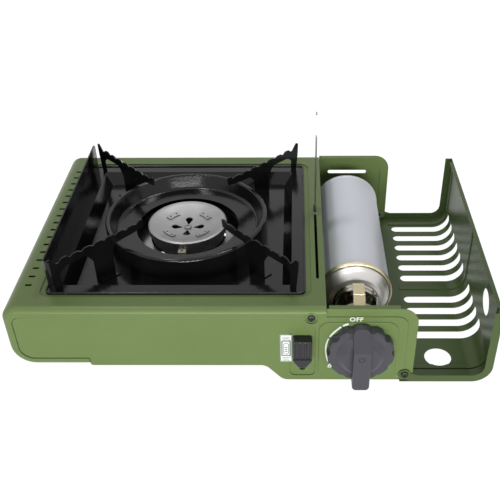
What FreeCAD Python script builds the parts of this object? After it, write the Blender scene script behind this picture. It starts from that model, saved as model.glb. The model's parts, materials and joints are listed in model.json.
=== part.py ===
import FreeCAD, Part
import math
import os

# Tabletop stove burning a lay-in gas cartridge. Millimetres, +X right, +Y back, +Z up.
# Built on a bench frame: X from the housing's left side, Y from the front panel, Z from the table.

# Housing
BODY_W = 344.0
BODY_D = 261.0
BODY_H = 82.0
BAY_W = 76.0
SHEET = 0.8
RAISED_Z = 20.0
LOW_Z = 3.0
TOP_EDGE_R = 12.0
LOW_EDGE_R = 20.0
FRONT_EDGE_R = 6.0
RIM = 8.0
LIP_END = 66.0
CORNER_R = 15.5
FIELD_PROUD = 1.2
PLATEAU_PROUD = 1.0
BORDER_TUCK = 4.5
SEAT_STEP = 1.2
HEM_L = 6.0
PRESS_R = 0.7
SHELL_R = BODY_W - BAY_W
STEP_LEFT = SHELL_R - 51.0
STEP_RIGHT = SHELL_R - 31.0
STEP_BEND = 9.0
PARTITION_X = SHELL_R - 10.8
VENTS = 17
VENT_X = 16.0
VENT_Y = 33.4
VENT_END = 35.6
VENT_L = 6.0
VENT_W = 3.0
VENT_PITCH = (BODY_D - VENT_Y - VENT_END) / (VENTS - 1)
FLOOR_SLOTS = 5
FLOOR_SLOT_Y = 60.0
FLOOR_SLOT_L = 80.0
FLOOR_SLOT_W = 6.0
FOOT_R = 8.0
FOOT_Y = 45.0
FOOT_X = (80.0, STEP_LEFT - 17.0)
SHORT_FOOT_X = (STEP_RIGHT + 13.0, BODY_W - 26.0)

# Drip pan, ring and pot supports
PAN_W = SHELL_R - 49.0
PAN_L = BODY_D - 44.6
PAN_X = PAN_W / 2 + 32.3
PAN_Y = PAN_L / 2 + 21.4
PAN_SHEET = 0.8
PAN_FLANGE = 12.0
PAN_TAPER = 8.0
PAN_DEPTH = 11.0
PAN_BEAD = 1.2
PAN_BEAD_W = 1.6
PAN_FIT = 0.7
SEAT_W = 4.0
RING_SHARE = 0.3489
RING_R = PAN_L * RING_SHARE
RING_RISE = 21.0
RING_RIM = 4.0
BOWL_R = RING_R * 0.861
BOWL_FLOOR = 7.5
BOWL_HOLE = RING_R * 0.636
ARM_T = 1.2
ARM_TOP = BODY_H + 25.5
ARM_HORN = ARM_TOP + 4.5
ARM_INNER = 51.0
ARM_INSET = 7.0
ARM_OUTER = PAN_L / math.sqrt(2) - ARM_INSET
ARM_SCALLOPS = 6
ARM_LEG = 19.0
ARM_FOOT = 9.0
ARM_SIDE = ARM_OUTER / math.sqrt(2)
WALL_X = PAN_X - ARM_SIDE - 4.4
WALL_FRONT = PAN_Y - ARM_SIDE - 0.35
WALL_REAR = PAN_Y + ARM_SIDE + 0.2
WALL_BEND = 5.0
WALL_TOP = ARM_TOP + 3.0

# Burner
BURNER_X = PAN_X - 1.3
BURNER_Y = PAN_Y + 0.4
CAP_R = 36.8
CAP_Z = BODY_H + 1.0
CAP_RIM = 4.0
CAP_SKIRT = 7.0
CAP_DISH = 6.5
CAP_SHEET = 1.0
PORTS = 60
PORT_R = 0.8
BRIDGE_R = 22.0
BRIDGE_W = 5.0
CUP_R = CAP_R - 2.8
CUP_Z = CAP_Z - 25.0
CUP_NECK = 10.0
TUBE_R = 8.0
TUBE_FLARE = 3.0
TUBE_THROAT = 12.0
TUBE_Y0 = 46.0
JET_Z = 34.0
DISH_R = RING_R - 5.5
DISH_FLAT = (CUP_R + DISH_R) / 2
STAND_W = 24.0
STAND_L = 28.0
SPARK_X = BURNER_X - 1.1
SPARK_Y = BURNER_Y - 40.0
CERAMIC_LOW = CAP_Z - 21.0
CERAMIC_H = 15.0
WIRE_R = 0.85

# Cartridge and its bay
CAN_CLEAR = 0.4
CRADLE_GAP = 2.7
CAN_R = 33.3
CAN_X = SHELL_R + 29.0
CAN_Z = LOW_Z + 2 * SHEET + CAN_R + CAN_CLEAR + CRADLE_GAP
CAN_FRONT = 73.0
CAN_REAR = BODY_D - 29.0
CAN_WALL = 0.5
SEAM_R = 1.4
DOME_R = 20.5
DOME_L = 13.0
COLLAR_R = 19.5
COLLAR_L = 6.0
CUP_NECK_R = 10.0
STEM_R = 2.0
STEM_TIP = 45.5
STEM_L = 14.0
CLAMP_TRAVEL = 6.0
SADDLE_LEAN = 30.0
SADDLE_DROP = 25.0
SADDLE_INSET = 28.0

# Knob, regulator and lever
KNOB_R = 28.0
KNOB_LOBES = 11
KNOB_SKIRT = 9.0
KNOB_GAP = 1.0
GRIP_W = 14.5
GRIP_OUT = 24.0
SHAFT_R = 3.0
SHAFT_FIT = 0.05
KNOB_TURN = 110.0
CAM_Y = 4.0
CAM_W = 3.0
CAM_LOW = 11.0
CAM_RISE = 5.0
CAM_LEAD = 20.0
PIEZO_X = SHELL_R - 4.5
PIEZO_L = 10.0
PIEZO_R = 3.0
REG_R = 24.0
REG_FRONT = 14.0
REG_L = 24.0
REG_COVER = 3.0
REG_BOLT_R = 1.3
NOZZLE_R = 4.6
NOZZLE_BORE = 3.4
TONGUE_END = 50.5
TONGUE_W = 10.0
LEVER_X = SHELL_R - 19.5
LEVER_W = 16.0
LEVER_LOW = BODY_H - 58.0
LEVER_TALL = 30.0
LEVER_OUT = 9.0
LEVER_TRAVEL = 14.0
LEVER_SLOT = 4.9
LEVER_RIBS = 3
LEVER_POCKET = 11.0
LEVER_PLATE_Y = 4.0
SLIDE_GAP = 0.4
PIN_Y = 20.0
PIN_Z = 30.0
LINK_PIN_R = 1.5
RAIL_X = SHELL_R - 6.0
RAIL_W = 8.0
RAIL_T = 1.2

# Lid
HINGE_X = BODY_W - 7.0
HINGE_Z = 9.3
HINGE_ARM = 8.3
LID_REACH = 75.3
LID_TOP = 77.7
LID_BEND = 17.0
LID_FLANGE = 7.0
LID_SLOT = 10.0
LID_SLOT_FRONT = 60.3
LID_SLOT_REAR = 24.0
LID_BEAD = 0.9
LID_BEAD_W = 5.0
EAR_R = 5.5
POCKET_R = 7.2
PIN_R = 2.0

# Swing-up pan guard blade
BLADE_X = SHELL_R - 6.5
BLADE_T = 1.2
BLADE_W = 14.0
BLADE_L = 106.0
BLADE_Y = 149.0
BLADE_Z = BODY_H - 3.0
BLADE_PIN_R = 1.5
BLADE_SLOT = 2.5
BLADE_SLOT_FRONT = 42.0
BLADE_SLOT_REAR = 161.0

# Screws
SCREW_TOP = (SHELL_R - 12.4, BODY_H - 9.8)
SCREW_POCKET = 5.2
SCREW_R = 3.2
SCREW_STEM_R = 1.6
SCREW_HEAD = 1.6
HAIR = 0.1

PARTS = {}


def vec(x, y, z):
    return FreeCAD.Vector(x, y, z)


def box(x0, x1, y0, y1, z0, z1):
    return Part.makeBox(x1 - x0, y1 - y0, z1 - z0, vec(x0, y0, z0))


def rod(x, y, z, axis, radius, length):
    """Cylinder from a point along +x, +y or +z."""
    way = {"x": vec(1, 0, 0), "y": vec(0, 1, 0), "z": vec(0, 0, 1)}[axis]
    return Part.makeCylinder(radius, length, vec(x, y, z), way)


def tube(x, y, z, axis, outer, inner, length):
    return rod(x, y, z, axis, outer, length).cut(rod(x, y, z, axis, inner, length))


def cone(x, y, z, axis, r0, r1, length):
    way = {"x": vec(1, 0, 0), "y": vec(0, 1, 0), "z": vec(0, 0, 1)}[axis]
    return Part.makeCone(r0, r1, length, vec(x, y, z), way)


def fuse(shapes):
    """Join overlapping shapes to one solid."""
    body = shapes[0]
    for shape in shapes[1:]:
        body = body.fuse(shape)
    return body.removeSplitter()


def cut(shape, tools):
    for tool in tools:
        shape = shape.cut(tool)
    return shape


def placed(axis, level, u, v):
    """Point of a flat outline: (x, y) for axis z, (x, z) for y, (y, z) for x."""
    if axis == "z":
        return vec(u, v, level)
    if axis == "y":
        return vec(u, level, v)
    return vec(level, u, v)


def outline(points, axis, level):
    """Closed face through (u, v, radius) corners, each rounded to its radius."""
    count = len(points)
    starts, mids, ends = [], [], []
    for i, (u, v, radius) in enumerate(points):
        au, av = points[i - 1][0] - u, points[i - 1][1] - v
        bu, bv = points[(i + 1) % count][0] - u, points[(i + 1) % count][1] - v
        la, lb = math.hypot(au, av), math.hypot(bu, bv)
        au, av, bu, bv = au / la, av / la, bu / lb, bv / lb
        half = math.acos(max(-1.0, min(1.0, au * bu + av * bv))) / 2
        if radius <= 0 or half > math.radians(89.5):
            starts.append((u, v))
            mids.append(None)
            ends.append((u, v))
            continue
        back = radius / math.tan(half)
        reach = radius / math.sin(half) - radius
        mu, mv = au + bu, av + bv
        size = math.hypot(mu, mv)
        starts.append((u + au * back, v + av * back))
        mids.append((u + mu / size * reach, v + mv / size * reach))
        ends.append((u + bu * back, v + bv * back))
    edges = []
    for i in range(count):
        if mids[i]:
            three = [placed(axis, level, *p) for p in (starts[i], mids[i], ends[i])]
            edges.append(Part.Arc(*three).toShape())
        a, b = ends[i], starts[(i + 1) % count]
        if math.hypot(a[0] - b[0], a[1] - b[1]) > 1e-6:
            line = Part.LineSegment(placed(axis, level, *a), placed(axis, level, *b))
            edges.append(line.toShape())
    return Part.Face(Part.Wire(edges))


def plate(points, axis, low, high):
    """Flat outline thickened from low to high along its axis."""
    way = {"x": vec(1, 0, 0), "y": vec(0, 1, 0), "z": vec(0, 0, 1)}[axis]
    return outline(points, axis, low).extrude(way * (high - low))


def rect(u0, u1, v0, v1, radius):
    return [(u0, v0, radius), (u1, v0, radius), (u1, v1, radius), (u0, v1, radius)]


def lathe(points, x, y, z, axis="z"):
    """Solid of revolution of (radius, height) points about a line through (x, y, z)."""
    if axis == "z":
        loop = [vec(x + r, y, z + h) for r, h in points]
        way = vec(0, 0, 1)
    else:
        loop = [vec(x + r, y + h, z) for r, h in points]
        way = vec(0, 1, 0)
    face = Part.Face(Part.makePolygon(loop + [loop[0]]))
    return face.revolve(vec(x, y, z), way, 360)


def turned(shape, x, y, z, axis, degrees):
    way = {"x": vec(1, 0, 0), "y": vec(0, 1, 0), "z": vec(0, 0, 1)}[axis]
    copy = shape.copy()
    copy.rotate(vec(x, y, z), way, degrees)
    return copy


def mirrored(shape):
    """The same shape on the housing's other end, front for rear."""
    return shape.mirror(vec(0, BODY_D / 2, 0), vec(0, 1, 0))


def round_edges(shape, radius, wanted):
    """Fillet the edges whose centre passes a test."""
    edges = [edge for edge in shape.Edges if wanted(edge.BoundBox)]
    return shape.makeFillet(radius, edges)


def add(name, *shapes):
    PARTS[name] = Part.makeCompound(list(shapes)) if len(shapes) > 1 else shapes[0]


# Housing pieces

def housing(inset):
    """Rounded block of the left part of the housing, drawn in by an inset."""
    top, low = BODY_H - inset, RAISED_Z + inset
    points = [(SHELL_R, top, 0), (inset, top, TOP_EDGE_R - inset), (inset, low, LOW_EDGE_R - inset)]
    points.append((SHELL_R, low, 0))
    block = plate(points, "y", inset, BODY_D - inset)

    def end_edge(b):
        return b.YLength < 0.01 and not (b.XLength < 0.01 and b.XMin > SHELL_R - 1)

    return round_edges(block, FRONT_EDGE_R - inset, end_edge)


def make_top_shell():
    shell = housing(0).cut(housing(SHEET))
    # The underside stays only as a lip, and both ends open in a window inside the rim
    shell = shell.cut(box(LIP_END, SHELL_R + 1, -1, BODY_D + 1, RAISED_Z - 1, RAISED_Z + RIM))
    window = [(SHELL_R + 1, RAISED_Z + RIM, 0), (SHELL_R + 1, BODY_H - RIM, 0)]
    window += [(RIM, BODY_H - RIM, TOP_EDGE_R - RIM / 2), (RIM, RAISED_Z + RIM, LOW_EDGE_R - RIM)]
    shell = shell.cut(plate(window, "y", -1, BODY_D + 1))
    flange = box(SHELL_R - SHEET, SHELL_R, RIM, BODY_D - RIM, BODY_H - 13, BODY_H - SHEET / 2)
    shell = shell.fuse(flange)
    # Sunk seat for the drip pan's flange
    seat = pan_rect(PAN_FIT + SEAT_W)
    under = plate(pan_rect(PAN_FIT + SEAT_W + SHEET), "z", BODY_H - SEAT_STEP - SHEET, BODY_H - SHEET / 2)
    shell = shell.fuse(under)
    shell = shell.cut(plate(seat, "z", BODY_H - SEAT_STEP, BODY_H + 1))
    shell = shell.cut(plate(pan_rect(PAN_FIT - PAN_FLANGE + 2), "z", BODY_H - 9, BODY_H + 1))
    slots = []
    for i in range(VENTS):
        y = VENT_Y + VENT_PITCH * i
        slot = rect(VENT_X - VENT_L / 2, VENT_X + VENT_L / 2, y - VENT_W / 2, y + VENT_W / 2, 1.4)
        slots.append(plate(slot, "z", BODY_H - 3, BODY_H + 1))
    notch = rod(SCREW_TOP[0], -1, SCREW_TOP[1], "y", SCREW_POCKET + SHEET + 0.2, 3.05)
    slots += [notch, mirrored(notch)]
    half = BLADE_SLOT / 2
    slot = rect(BLADE_X - half, BLADE_X + half, BLADE_SLOT_FRONT, BLADE_SLOT_REAR, half * 0.95)
    slots.append(plate(slot, "z", BODY_H - 5, BODY_H + 1))
    add("top_shell", cut(shell, slots).removeSplitter())


def pan_rect(grow):
    half_w, half_l = PAN_W / 2 + grow, PAN_L / 2 + grow
    return rect(PAN_X - half_w, PAN_X + half_w, PAN_Y - half_l, PAN_Y + half_l, 5 + max(grow, -2))


def panel_points(inset):
    """Outer outline of the front panel, drawn in by an inset at the free edges."""
    i = inset
    left, low = BORDER_TUCK + i, RAISED_Z + BORDER_TUCK + i
    return [
        (left, BODY_H - BORDER_TUCK, TOP_EDGE_R - BORDER_TUCK), (left, low, LOW_EDGE_R - BORDER_TUCK),
        (LIP_END + 0.3, low, 0), (LIP_END + 0.3, RAISED_Z + i, 0),
        (STEP_LEFT, RAISED_Z + i, STEP_BEND), (STEP_RIGHT - 5, LOW_Z + i, STEP_BEND),
        (BODY_W - i, LOW_Z + i, 6.3), (BODY_W - i, BODY_H - i, CORNER_R),
        (SHELL_R + 0.4, BODY_H - i, 0), (SHELL_R + 0.4, BODY_H - BORDER_TUCK, 0),
    ]


def field_points(inset):
    """Outline of the proud field inside the border."""
    i = inset
    return [
        (RIM + 0.6 + i, BODY_H - RIM - i, TOP_EDGE_R - RIM / 2),
        (RIM + 0.6 + i, RAISED_Z + RIM + 0.6 + i, LOW_EDGE_R - RIM),
        (LIP_END + 1 + i, RAISED_Z + RIM + 0.6 + i, 1), (LIP_END + 1 + i, RAISED_Z + i, 1.5),
        (STEP_LEFT - i * 0.4, RAISED_Z + i, 9), (STEP_RIGHT - 5 + i * 0.4, LOW_Z + i, 9),
        (BODY_W - RIM - i, LOW_Z + i, 2), (BODY_W - RIM - i, BODY_H - RIM - i, CORNER_R - 6),
    ]


def pressed_panel(front):
    """Panel with its border set back, a proud field and, on the front, a knob plateau."""
    back = FIELD_PROUD + SHEET
    panel = plate(panel_points(0), "y", FIELD_PROUD, back)
    field = plate(field_points(0), "y", 0, back)
    field = round_edges(field, PRESS_R, lambda b: b.YLength < 0.01 and b.YMin < 0.01)
    knob_zone = rect(CAN_X - 35, CAN_X + 31, LOW_Z + 5, BODY_H - RIM - 5, 9)
    if front:
        plateau = plate(knob_zone, "y", -PLATEAU_PROUD, back)
        plateau = round_edges(plateau, PRESS_R, lambda b: b.YLength < 0.01 and b.YMin < 0)
        field = field.fuse(plateau)
    panel = panel.fuse(field).cut(plate(field_points(SHEET), "y", SHEET, back + 1))
    if front:
        inner = [(u + math.copysign(SHEET, CAN_X - u), v + math.copysign(SHEET, 38 - v), r)
                 for u, v, r in knob_zone]
        panel = panel.cut(plate(inner, "y", SHEET - PLATEAU_PROUD, back))
    # Small round pocket for the screw under the top edge
    panel = panel.fuse(rod(SCREW_TOP[0], 0.4, SCREW_TOP[1], "y", SCREW_POCKET + SHEET, back - 0.4))
    panel = panel.cut(rod(SCREW_TOP[0], -2, SCREW_TOP[1], "y", SCREW_POCKET, 2 + FIELD_PROUD))
    panel = panel.cut(rod(SCREW_TOP[0], -2, SCREW_TOP[1], "y", 1.7, 6))
    # Round pocket in which the lid's ear turns
    panel = panel.fuse(rod(HINGE_X, FIELD_PROUD, HINGE_Z, "y", POCKET_R - 0.1, SHEET))
    panel = panel.cut(rod(HINGE_X, -1, HINGE_Z, "y", POCKET_R, 1 + FIELD_PROUD))
    return panel.cut(rod(HINGE_X, -1, HINGE_Z, "y", PIN_R + SHAFT_FIT, 5))


def make_front_panel():
    panel = pressed_panel(True)
    low, high = LOW_Z + 5.5, LEVER_LOW + LEVER_TALL + 12
    wide = LEVER_POCKET + SHEET
    lever_zone = rect(LEVER_X - LEVER_POCKET, LEVER_X + LEVER_POCKET, low, high, 5)
    grown = rect(LEVER_X - wide, LEVER_X + wide, low - SHEET, high + SHEET, 5 + SHEET)
    panel = panel.fuse(plate(grown, "y", 0.4, 1.0 + SHEET)).cut(plate(lever_zone, "y", -2, 1.0))
    half = LEVER_SLOT / 2
    slot = rect(LEVER_X - half, LEVER_X + half, LEVER_LOW - 10.2, LEVER_LOW + LEVER_TALL - 4, half * 0.9)
    panel = panel.cut(plate(slot, "y", -2, 5))
    panel = panel.cut(rod(CAN_X, -2, CAN_Z, "y", SHAFT_R + 2, 6))
    hem = box(SHELL_R + 2, BODY_W - CORNER_R, FIELD_PROUD, HEM_L, BODY_H - SHEET, BODY_H)
    add("front_panel", panel.fuse(hem).removeSplitter())


def make_rear_panel():
    panel = pressed_panel(False)
    window = rect(CAN_X - 19, CAN_X + 23, 60, 64.3, 2)
    panel = panel.cut(plate(window, "y", -2, 6))
    hem = box(SHELL_R + 2, BODY_W - CORNER_R, FIELD_PROUD, HEM_L, BODY_H - SHEET, BODY_H)
    add("rear_panel", mirrored(panel.fuse(hem).removeSplitter()))


def make_base_plate():
    """Floor sheet: high under the burner, low under the cartridge."""
    t, y0 = SHEET, FIELD_PROUD + SHEET
    x0, x1, bend = 20, HINGE_X - POCKET_R - 1.5, STEP_BEND
    rise, low = RAISED_Z + t, LOW_Z + t
    sheet = [(x0, rise + t, 0), (STEP_LEFT, rise + t, bend), (STEP_RIGHT - 5, low + t, bend), (x1, low + t, 0)]
    sheet += [(x1, low, 0), (STEP_RIGHT - 6, low, bend), (STEP_LEFT - 1, rise, bend), (x0, rise, 0)]
    base = plate(sheet, "y", y0, BODY_D - y0)
    holes = []
    half = FLOOR_SLOT_L / 2
    pitch = (BODY_D - 2 * FLOOR_SLOT_Y - FLOOR_SLOT_W) / (FLOOR_SLOTS - 1)
    for i in range(FLOOR_SLOTS):
        y = FLOOR_SLOT_Y + pitch * i
        slot = rect(BURNER_X - half, BURNER_X + half, y, y + FLOOR_SLOT_W, FLOOR_SLOT_W / 2 - HAIR)
        holes.append(plate(slot, "z", RAISED_Z, RAISED_Z + 4))
    edge = FRONT_EDGE_R + 0.3
    holes.append(box(0, LIP_END + 1, 0, edge, 0, BODY_H))
    holes.append(box(0, LIP_END + 1, BODY_D - edge, BODY_D, 0, BODY_H))
    add("base_plate", cut(base, holes))


def make_partition():
    """Upright sheet between burner chamber and cartridge bay, with feet bent onto the floor."""
    x, t, low = PARTITION_X, SHEET, LOW_Z + 2 * SHEET
    wall = box(x, x + t, 9, BODY_D - 9, low, BODY_H - SHEET)
    foot = box(x - 9, x + t, 9, BODY_D - 9, low, low + t)
    wall = fuse([wall, foot])
    gas_way = rod(x - 1, TUBE_Y0, JET_Z, "x", TUBE_R + 4, 4)
    foot_way = box(x - 10, x + 2, 8, 34, low - 1, low + 12)
    add("partition_wall", cut(wall, [gas_way, foot_way]))


def make_feet():
    high, short = [], []
    for y in (FOOT_Y, BODY_D - FOOT_Y):
        for x in FOOT_X:
            high.append(cone(x, y, 0, "z", FOOT_R, FOOT_R + 2, RAISED_Z + SHEET))
        for x in SHORT_FOOT_X:
            short.append(cone(x, y, 0, "z", FOOT_R - 1, FOOT_R, LOW_Z + SHEET))
    add("tall_feet", *high)
    add("short_feet", *short)


def cross_screw(x, y, z, length):
    """Pan-head screw whose head faces -Y at y, with a cross recess."""
    head = rod(x, y, z, "y", SCREW_R, SCREW_HEAD)
    head = round_edges(head, 0.8, lambda b: b.YLength < 0.01 and b.YMin < y + 0.01)
    slot = box(x - 1.9, x + 1.9, y - 1, y + 0.9, z - 0.4, z + 0.4)
    slot = slot.fuse(turned(slot, x, y, z, "y", 90))
    return head.fuse(rod(x, y + SCREW_HEAD, z, "y", SCREW_STEM_R, length)).cut(slot)


def make_panel_screws():
    x, z = SCREW_TOP
    front = cross_screw(x, FIELD_PROUD - SCREW_HEAD, z, 6)
    rear = mirrored(cross_screw(x, FIELD_PROUD - SCREW_HEAD, z, 6))
    add("panel_screws", front, rear)
    boss = box(x - 5, PARTITION_X, FIELD_PROUD + SHEET, FIELD_PROUD + SHEET + 10, z - 5, z + 5)
    boss = boss.cut(rod(x, 0, z, "y", SCREW_STEM_R + HAIR, 20))
    add("screw_bosses", boss, mirrored(boss))


# Pan and burner

def loft_rect(grow_low, z_low, grow_high, z_high):
    wires = [outline(pan_rect(g), "z", z).OuterWire for g, z in ((grow_low, z_low), (grow_high, z_high))]
    return Part.makeLoft(wires, True, True)


def turned_outline(points, x, y):
    """Solid of revolution about the vertical line through (x, y), corners rounded."""
    face = outline([(x + r, z, radius) for r, z, radius in points], "y", y)
    return face.revolve(vec(x, y, 0), vec(0, 0, 1), 360)


def make_drip_pan():
    t = PAN_SHEET
    low = BODY_H - SEAT_STEP + HAIR
    top = low + t
    floor = BODY_H - PAN_DEPTH
    flange = plate(pan_rect(0), "z", low, top)
    hollow = plate(pan_rect(-PAN_BEAD_W), "z", low - 1, top + 2 * PAN_BEAD)
    bead = plate(pan_rect(0), "z", low, top + PAN_BEAD).cut(hollow)
    bead = round_edges(bead, 0.6, lambda b: b.ZLength < 0.01 and b.ZMin > top + 1)
    lower = loft_rect(-PAN_FLANGE - PAN_TAPER + t, floor - t, -PAN_FLANGE + t, top)
    inner = loft_rect(-PAN_FLANGE - PAN_TAPER, floor, -PAN_FLANGE, top + 0.02)
    pan = flange.fuse(bead).fuse(lower).cut(inner)
    pan = pan.cut(rod(BURNER_X, BURNER_Y, floor - 9, "z", RING_R - t, 20))
    rise, bowl = floor + RING_RISE, floor + BOWL_FLOOR
    ring = [
        (RING_R, floor - t, 0), (RING_R, rise, RING_RIM / 2), (RING_R - RING_RIM, rise, RING_RIM / 2 - 0.1),
        (BOWL_R + 1, bowl + 1, 3), (BOWL_HOLE, bowl, 0), (BOWL_HOLE, bowl - t, 0),
        (BOWL_R + 0.4, bowl - t + 0.8, 3.6), (RING_R - RING_RIM + 0.9, rise - t, 0.8),
        (RING_R - t, rise - t, 0.8), (RING_R - t, floor - t, 0),
    ]
    add("drip_pan", pan.fuse(turned_outline(ring, BURNER_X, BURNER_Y)).removeSplitter())


def support_arm():
    """One pot support lying along +X from the pan's centre, standing on flange and floor."""
    floor = BODY_H - PAN_DEPTH
    seat = BODY_H - SEAT_STEP + HAIR + PAN_SHEET
    leg_out = ARM_OUTER - 42
    leg_in = leg_out - ARM_LEG
    points = [
        (ARM_INNER, ARM_TOP - 6.5, 1), (ARM_INNER - 1, ARM_TOP + 1.5, 1.2), (ARM_INNER + 2.5, ARM_TOP + 1.8, 1),
        (ARM_INNER + 6, ARM_TOP - 1, 2),
    ]
    pitch = (ARM_OUTER - 18 - ARM_INNER - 9) / ARM_SCALLOPS
    for i in range(ARM_SCALLOPS):
        r = ARM_INNER + 9 + pitch * i
        points += [(r, ARM_TOP, 0.8), (r + pitch * 0.45, ARM_TOP, 0.8), (r + pitch * 0.72, ARM_TOP - 2, 1)]
    points += [
        (ARM_OUTER - 18, ARM_TOP + 0.8, 1.5), (ARM_OUTER - 13, ARM_TOP + 0.5, 1.5),
        (ARM_OUTER - 9, ARM_TOP - 3.5, 2.5), (ARM_OUTER - 2.5, ARM_HORN, 1.2),
        (ARM_OUTER, ARM_HORN - 0.8, 1), (ARM_OUTER - 0.5, ARM_TOP - 7.5, 5), (ARM_OUTER - 3, seat, 0),
        (ARM_OUTER - 9.5, seat, 0), (ARM_OUTER - 9, ARM_TOP - 12.5, 4), (ARM_OUTER - 16, ARM_TOP - 8, 5),
        (leg_out + 6, ARM_TOP - 8, 5), (leg_out, ARM_TOP - 17.5, 4), (leg_out, floor, 0), (leg_in, floor, 0),
        (leg_in, ARM_TOP - 15.5, 3), (leg_in - 6, ARM_TOP - 9, 5), (ARM_INNER + 12, ARM_TOP - 8, 4),
    ]
    arm = plate(points, "y", -ARM_T / 2, ARM_T / 2)
    foot = box(leg_in, leg_out, -ARM_T / 2, ARM_FOOT, floor, floor + ARM_T)
    return arm.fuse(foot).removeSplitter()


def make_supports():
    names = ["pot_support_rear_right", "pot_support_rear_left", "guard", "pot_support_front_right"]
    for i, name in enumerate(names):
        arm = support_arm()
        arm.rotate(vec(0, 0, 0), vec(0, 0, 1), 45 + 90 * i)
        arm.translate(vec(PAN_X, PAN_Y, 0))
        if name != "guard":
            add(name, arm)
            continue
        # The left wind guard and the front left support are one bent sheet
        low = BODY_H - SEAT_STEP + HAIR + PAN_SHEET
        turn = WALL_BEND
        wall = rect(WALL_FRONT + turn, WALL_REAR, low, WALL_TOP, 0.5)
        wall[2] = (WALL_REAR, WALL_TOP, 4)
        guard = plate(wall, "x", WALL_X, WALL_X + ARM_T)
        bend = tube(WALL_X + turn, WALL_FRONT + turn, low + 6, "z", turn, turn - ARM_T, WALL_TOP - low - 6)
        bend = bend.common(box(0, WALL_X + turn + 1.5, 0, WALL_FRONT + turn + 0.4, 0, 2 * WALL_TOP))
        add("pot_support_with_wind_guard", fuse([guard, bend, arm]))


def dish_z(r):
    """Upper surface of the burner cap at a radius."""
    reach = CAP_R - CAP_RIM
    return CAP_Z - 0.6 - CAP_DISH * (1 - (min(r, reach) / reach) ** 2)


def make_burner():
    t = CAP_SHEET
    rows = [(CAP_R - CAP_RIM) * i / 10 for i in range(11)]
    top = [(r, dish_z(r)) for r in rows]
    under = [(r, dish_z(r) - t) for r in reversed(rows)]
    rim = [(CAP_R - 1.4, CAP_Z), (CAP_R, CAP_Z - 0.8), (CAP_R, CAP_Z - CAP_SKIRT)]
    rim += [(CAP_R - t, CAP_Z - CAP_SKIRT), (CAP_R - t, CAP_Z - 1.8)]
    cap = lathe(top + rim + under, BURNER_X, BURNER_Y, 0)
    holes = []
    for i in range(PORTS):
        port = rod(BURNER_X + CAP_R - 3, BURNER_Y, CAP_Z - 3.2, "x", PORT_R, 5)
        holes.append(turned(port, BURNER_X, BURNER_Y, 0, "z", 360 / PORTS * i))
    for i in range(4):
        drop = rod(BURNER_X + 12, BURNER_Y, 60, "z", 3.4, 40)
        tail = plate([(BURNER_X + 5.5, BURNER_Y - 0.7, 0), (BURNER_X + 12, BURNER_Y - 3.3, 0),
                      (BURNER_X + 12, BURNER_Y + 3.3, 0), (BURNER_X + 5.5, BURNER_Y + 0.7, 0)], "z", 60, 100)
        holes.append(turned(drop.fuse(tail), BURNER_X, BURNER_Y, 0, "z", 90 * i))
    holes.append(rod(BURNER_X, BURNER_Y, 60, "z", 2.0, 40))
    add("burner_cap", cap.cut(Part.makeCompound(holes)))
    bridges = []
    for side in range(4):
        near, far = BRIDGE_R - BRIDGE_W / 2, BRIDGE_R + BRIDGE_W / 2
        ring = lathe([(near, dish_z(near) + HAIR), (far, dish_z(far) + HAIR), (far, dish_z(far) + 1.1),
                      (near, dish_z(near) + 1.3)], BURNER_X, BURNER_Y, 0)
        wedge = plate([(BURNER_X, BURNER_Y, 0), (BURNER_X + 40, BURNER_Y - 12, 0),
                       (BURNER_X + 40, BURNER_Y + 12, 0)], "z", 60, 100)
        piece = ring.common(wedge)
        for swing in (-9, 9):
            pin = rod(BURNER_X + BRIDGE_R, BURNER_Y, 60, "z", 0.9, 40)
            piece = piece.cut(turned(pin, BURNER_X, BURNER_Y, 0, "z", swing))
        bridges.append(turned(piece, BURNER_X, BURNER_Y, 0, "z", 45 + 90 * side))
    add("cap_bridges", *bridges)
    neck_z = CUP_Z - CUP_NECK
    cup = [
        (0, neck_z, 0), (11, neck_z, 0), (13, CUP_Z, 3), (CUP_R, CUP_Z + 7, 4), (CUP_R, CAP_Z - 5.5, 0),
        (CUP_R - 1, CAP_Z - 5.5, 0), (CUP_R - 1, CUP_Z + 8, 3), (12, CUP_Z + 1.2, 3), (10, neck_z + 1, 0),
        (0, neck_z + 1, 0),
    ]
    add("burner_cup", turned_outline(cup, BURNER_X, BURNER_Y).cut(mixing_bore(TUBE_R + HAIR)))
    near, far, foot = CUP_R + 0.02, CAP_R - t - 0.02, CAP_Z - CAP_SKIRT
    collar = [(near, foot), (far, foot), (far, foot + 1.2), (near, foot + 1.2)]
    collar = lathe(collar, BURNER_X, BURNER_Y, 0)
    add("burner_gasket", collar)
    head_z = dish_z(3.4) + 0.02
    screw = rod(BURNER_X, BURNER_Y, head_z, "z", 3.4, 1.8)
    screw = round_edges(screw, 0.8, lambda b: b.ZLength < 0.01 and b.ZMin > head_z + 1)
    stem = rod(BURNER_X, BURNER_Y, neck_z + 1, "z", 1.9, head_z - neck_z - 1)
    slot = box(BURNER_X - 2.2, BURNER_X + 2.2, BURNER_Y - 0.4, BURNER_Y + 0.4, head_z + 1, head_z + 3)
    slot = slot.fuse(turned(slot, BURNER_X, BURNER_Y, 0, "z", 90))
    add("burner_screw", screw.fuse(stem).cut(slot))


def tube_line():
    """Start, direction and length of the mixing tube, from the jet to the burner's neck."""
    start = vec(PARTITION_X - 6, TUBE_Y0, JET_Z)
    way = vec(BURNER_X + 2, BURNER_Y, CUP_Z - CUP_NECK / 2).sub(start)
    length = way.Length
    way.normalize()
    return start, way, length


def mixing_bore(radius):
    start, way, length = tube_line()
    return Part.makeCylinder(radius, length, start, way)


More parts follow.
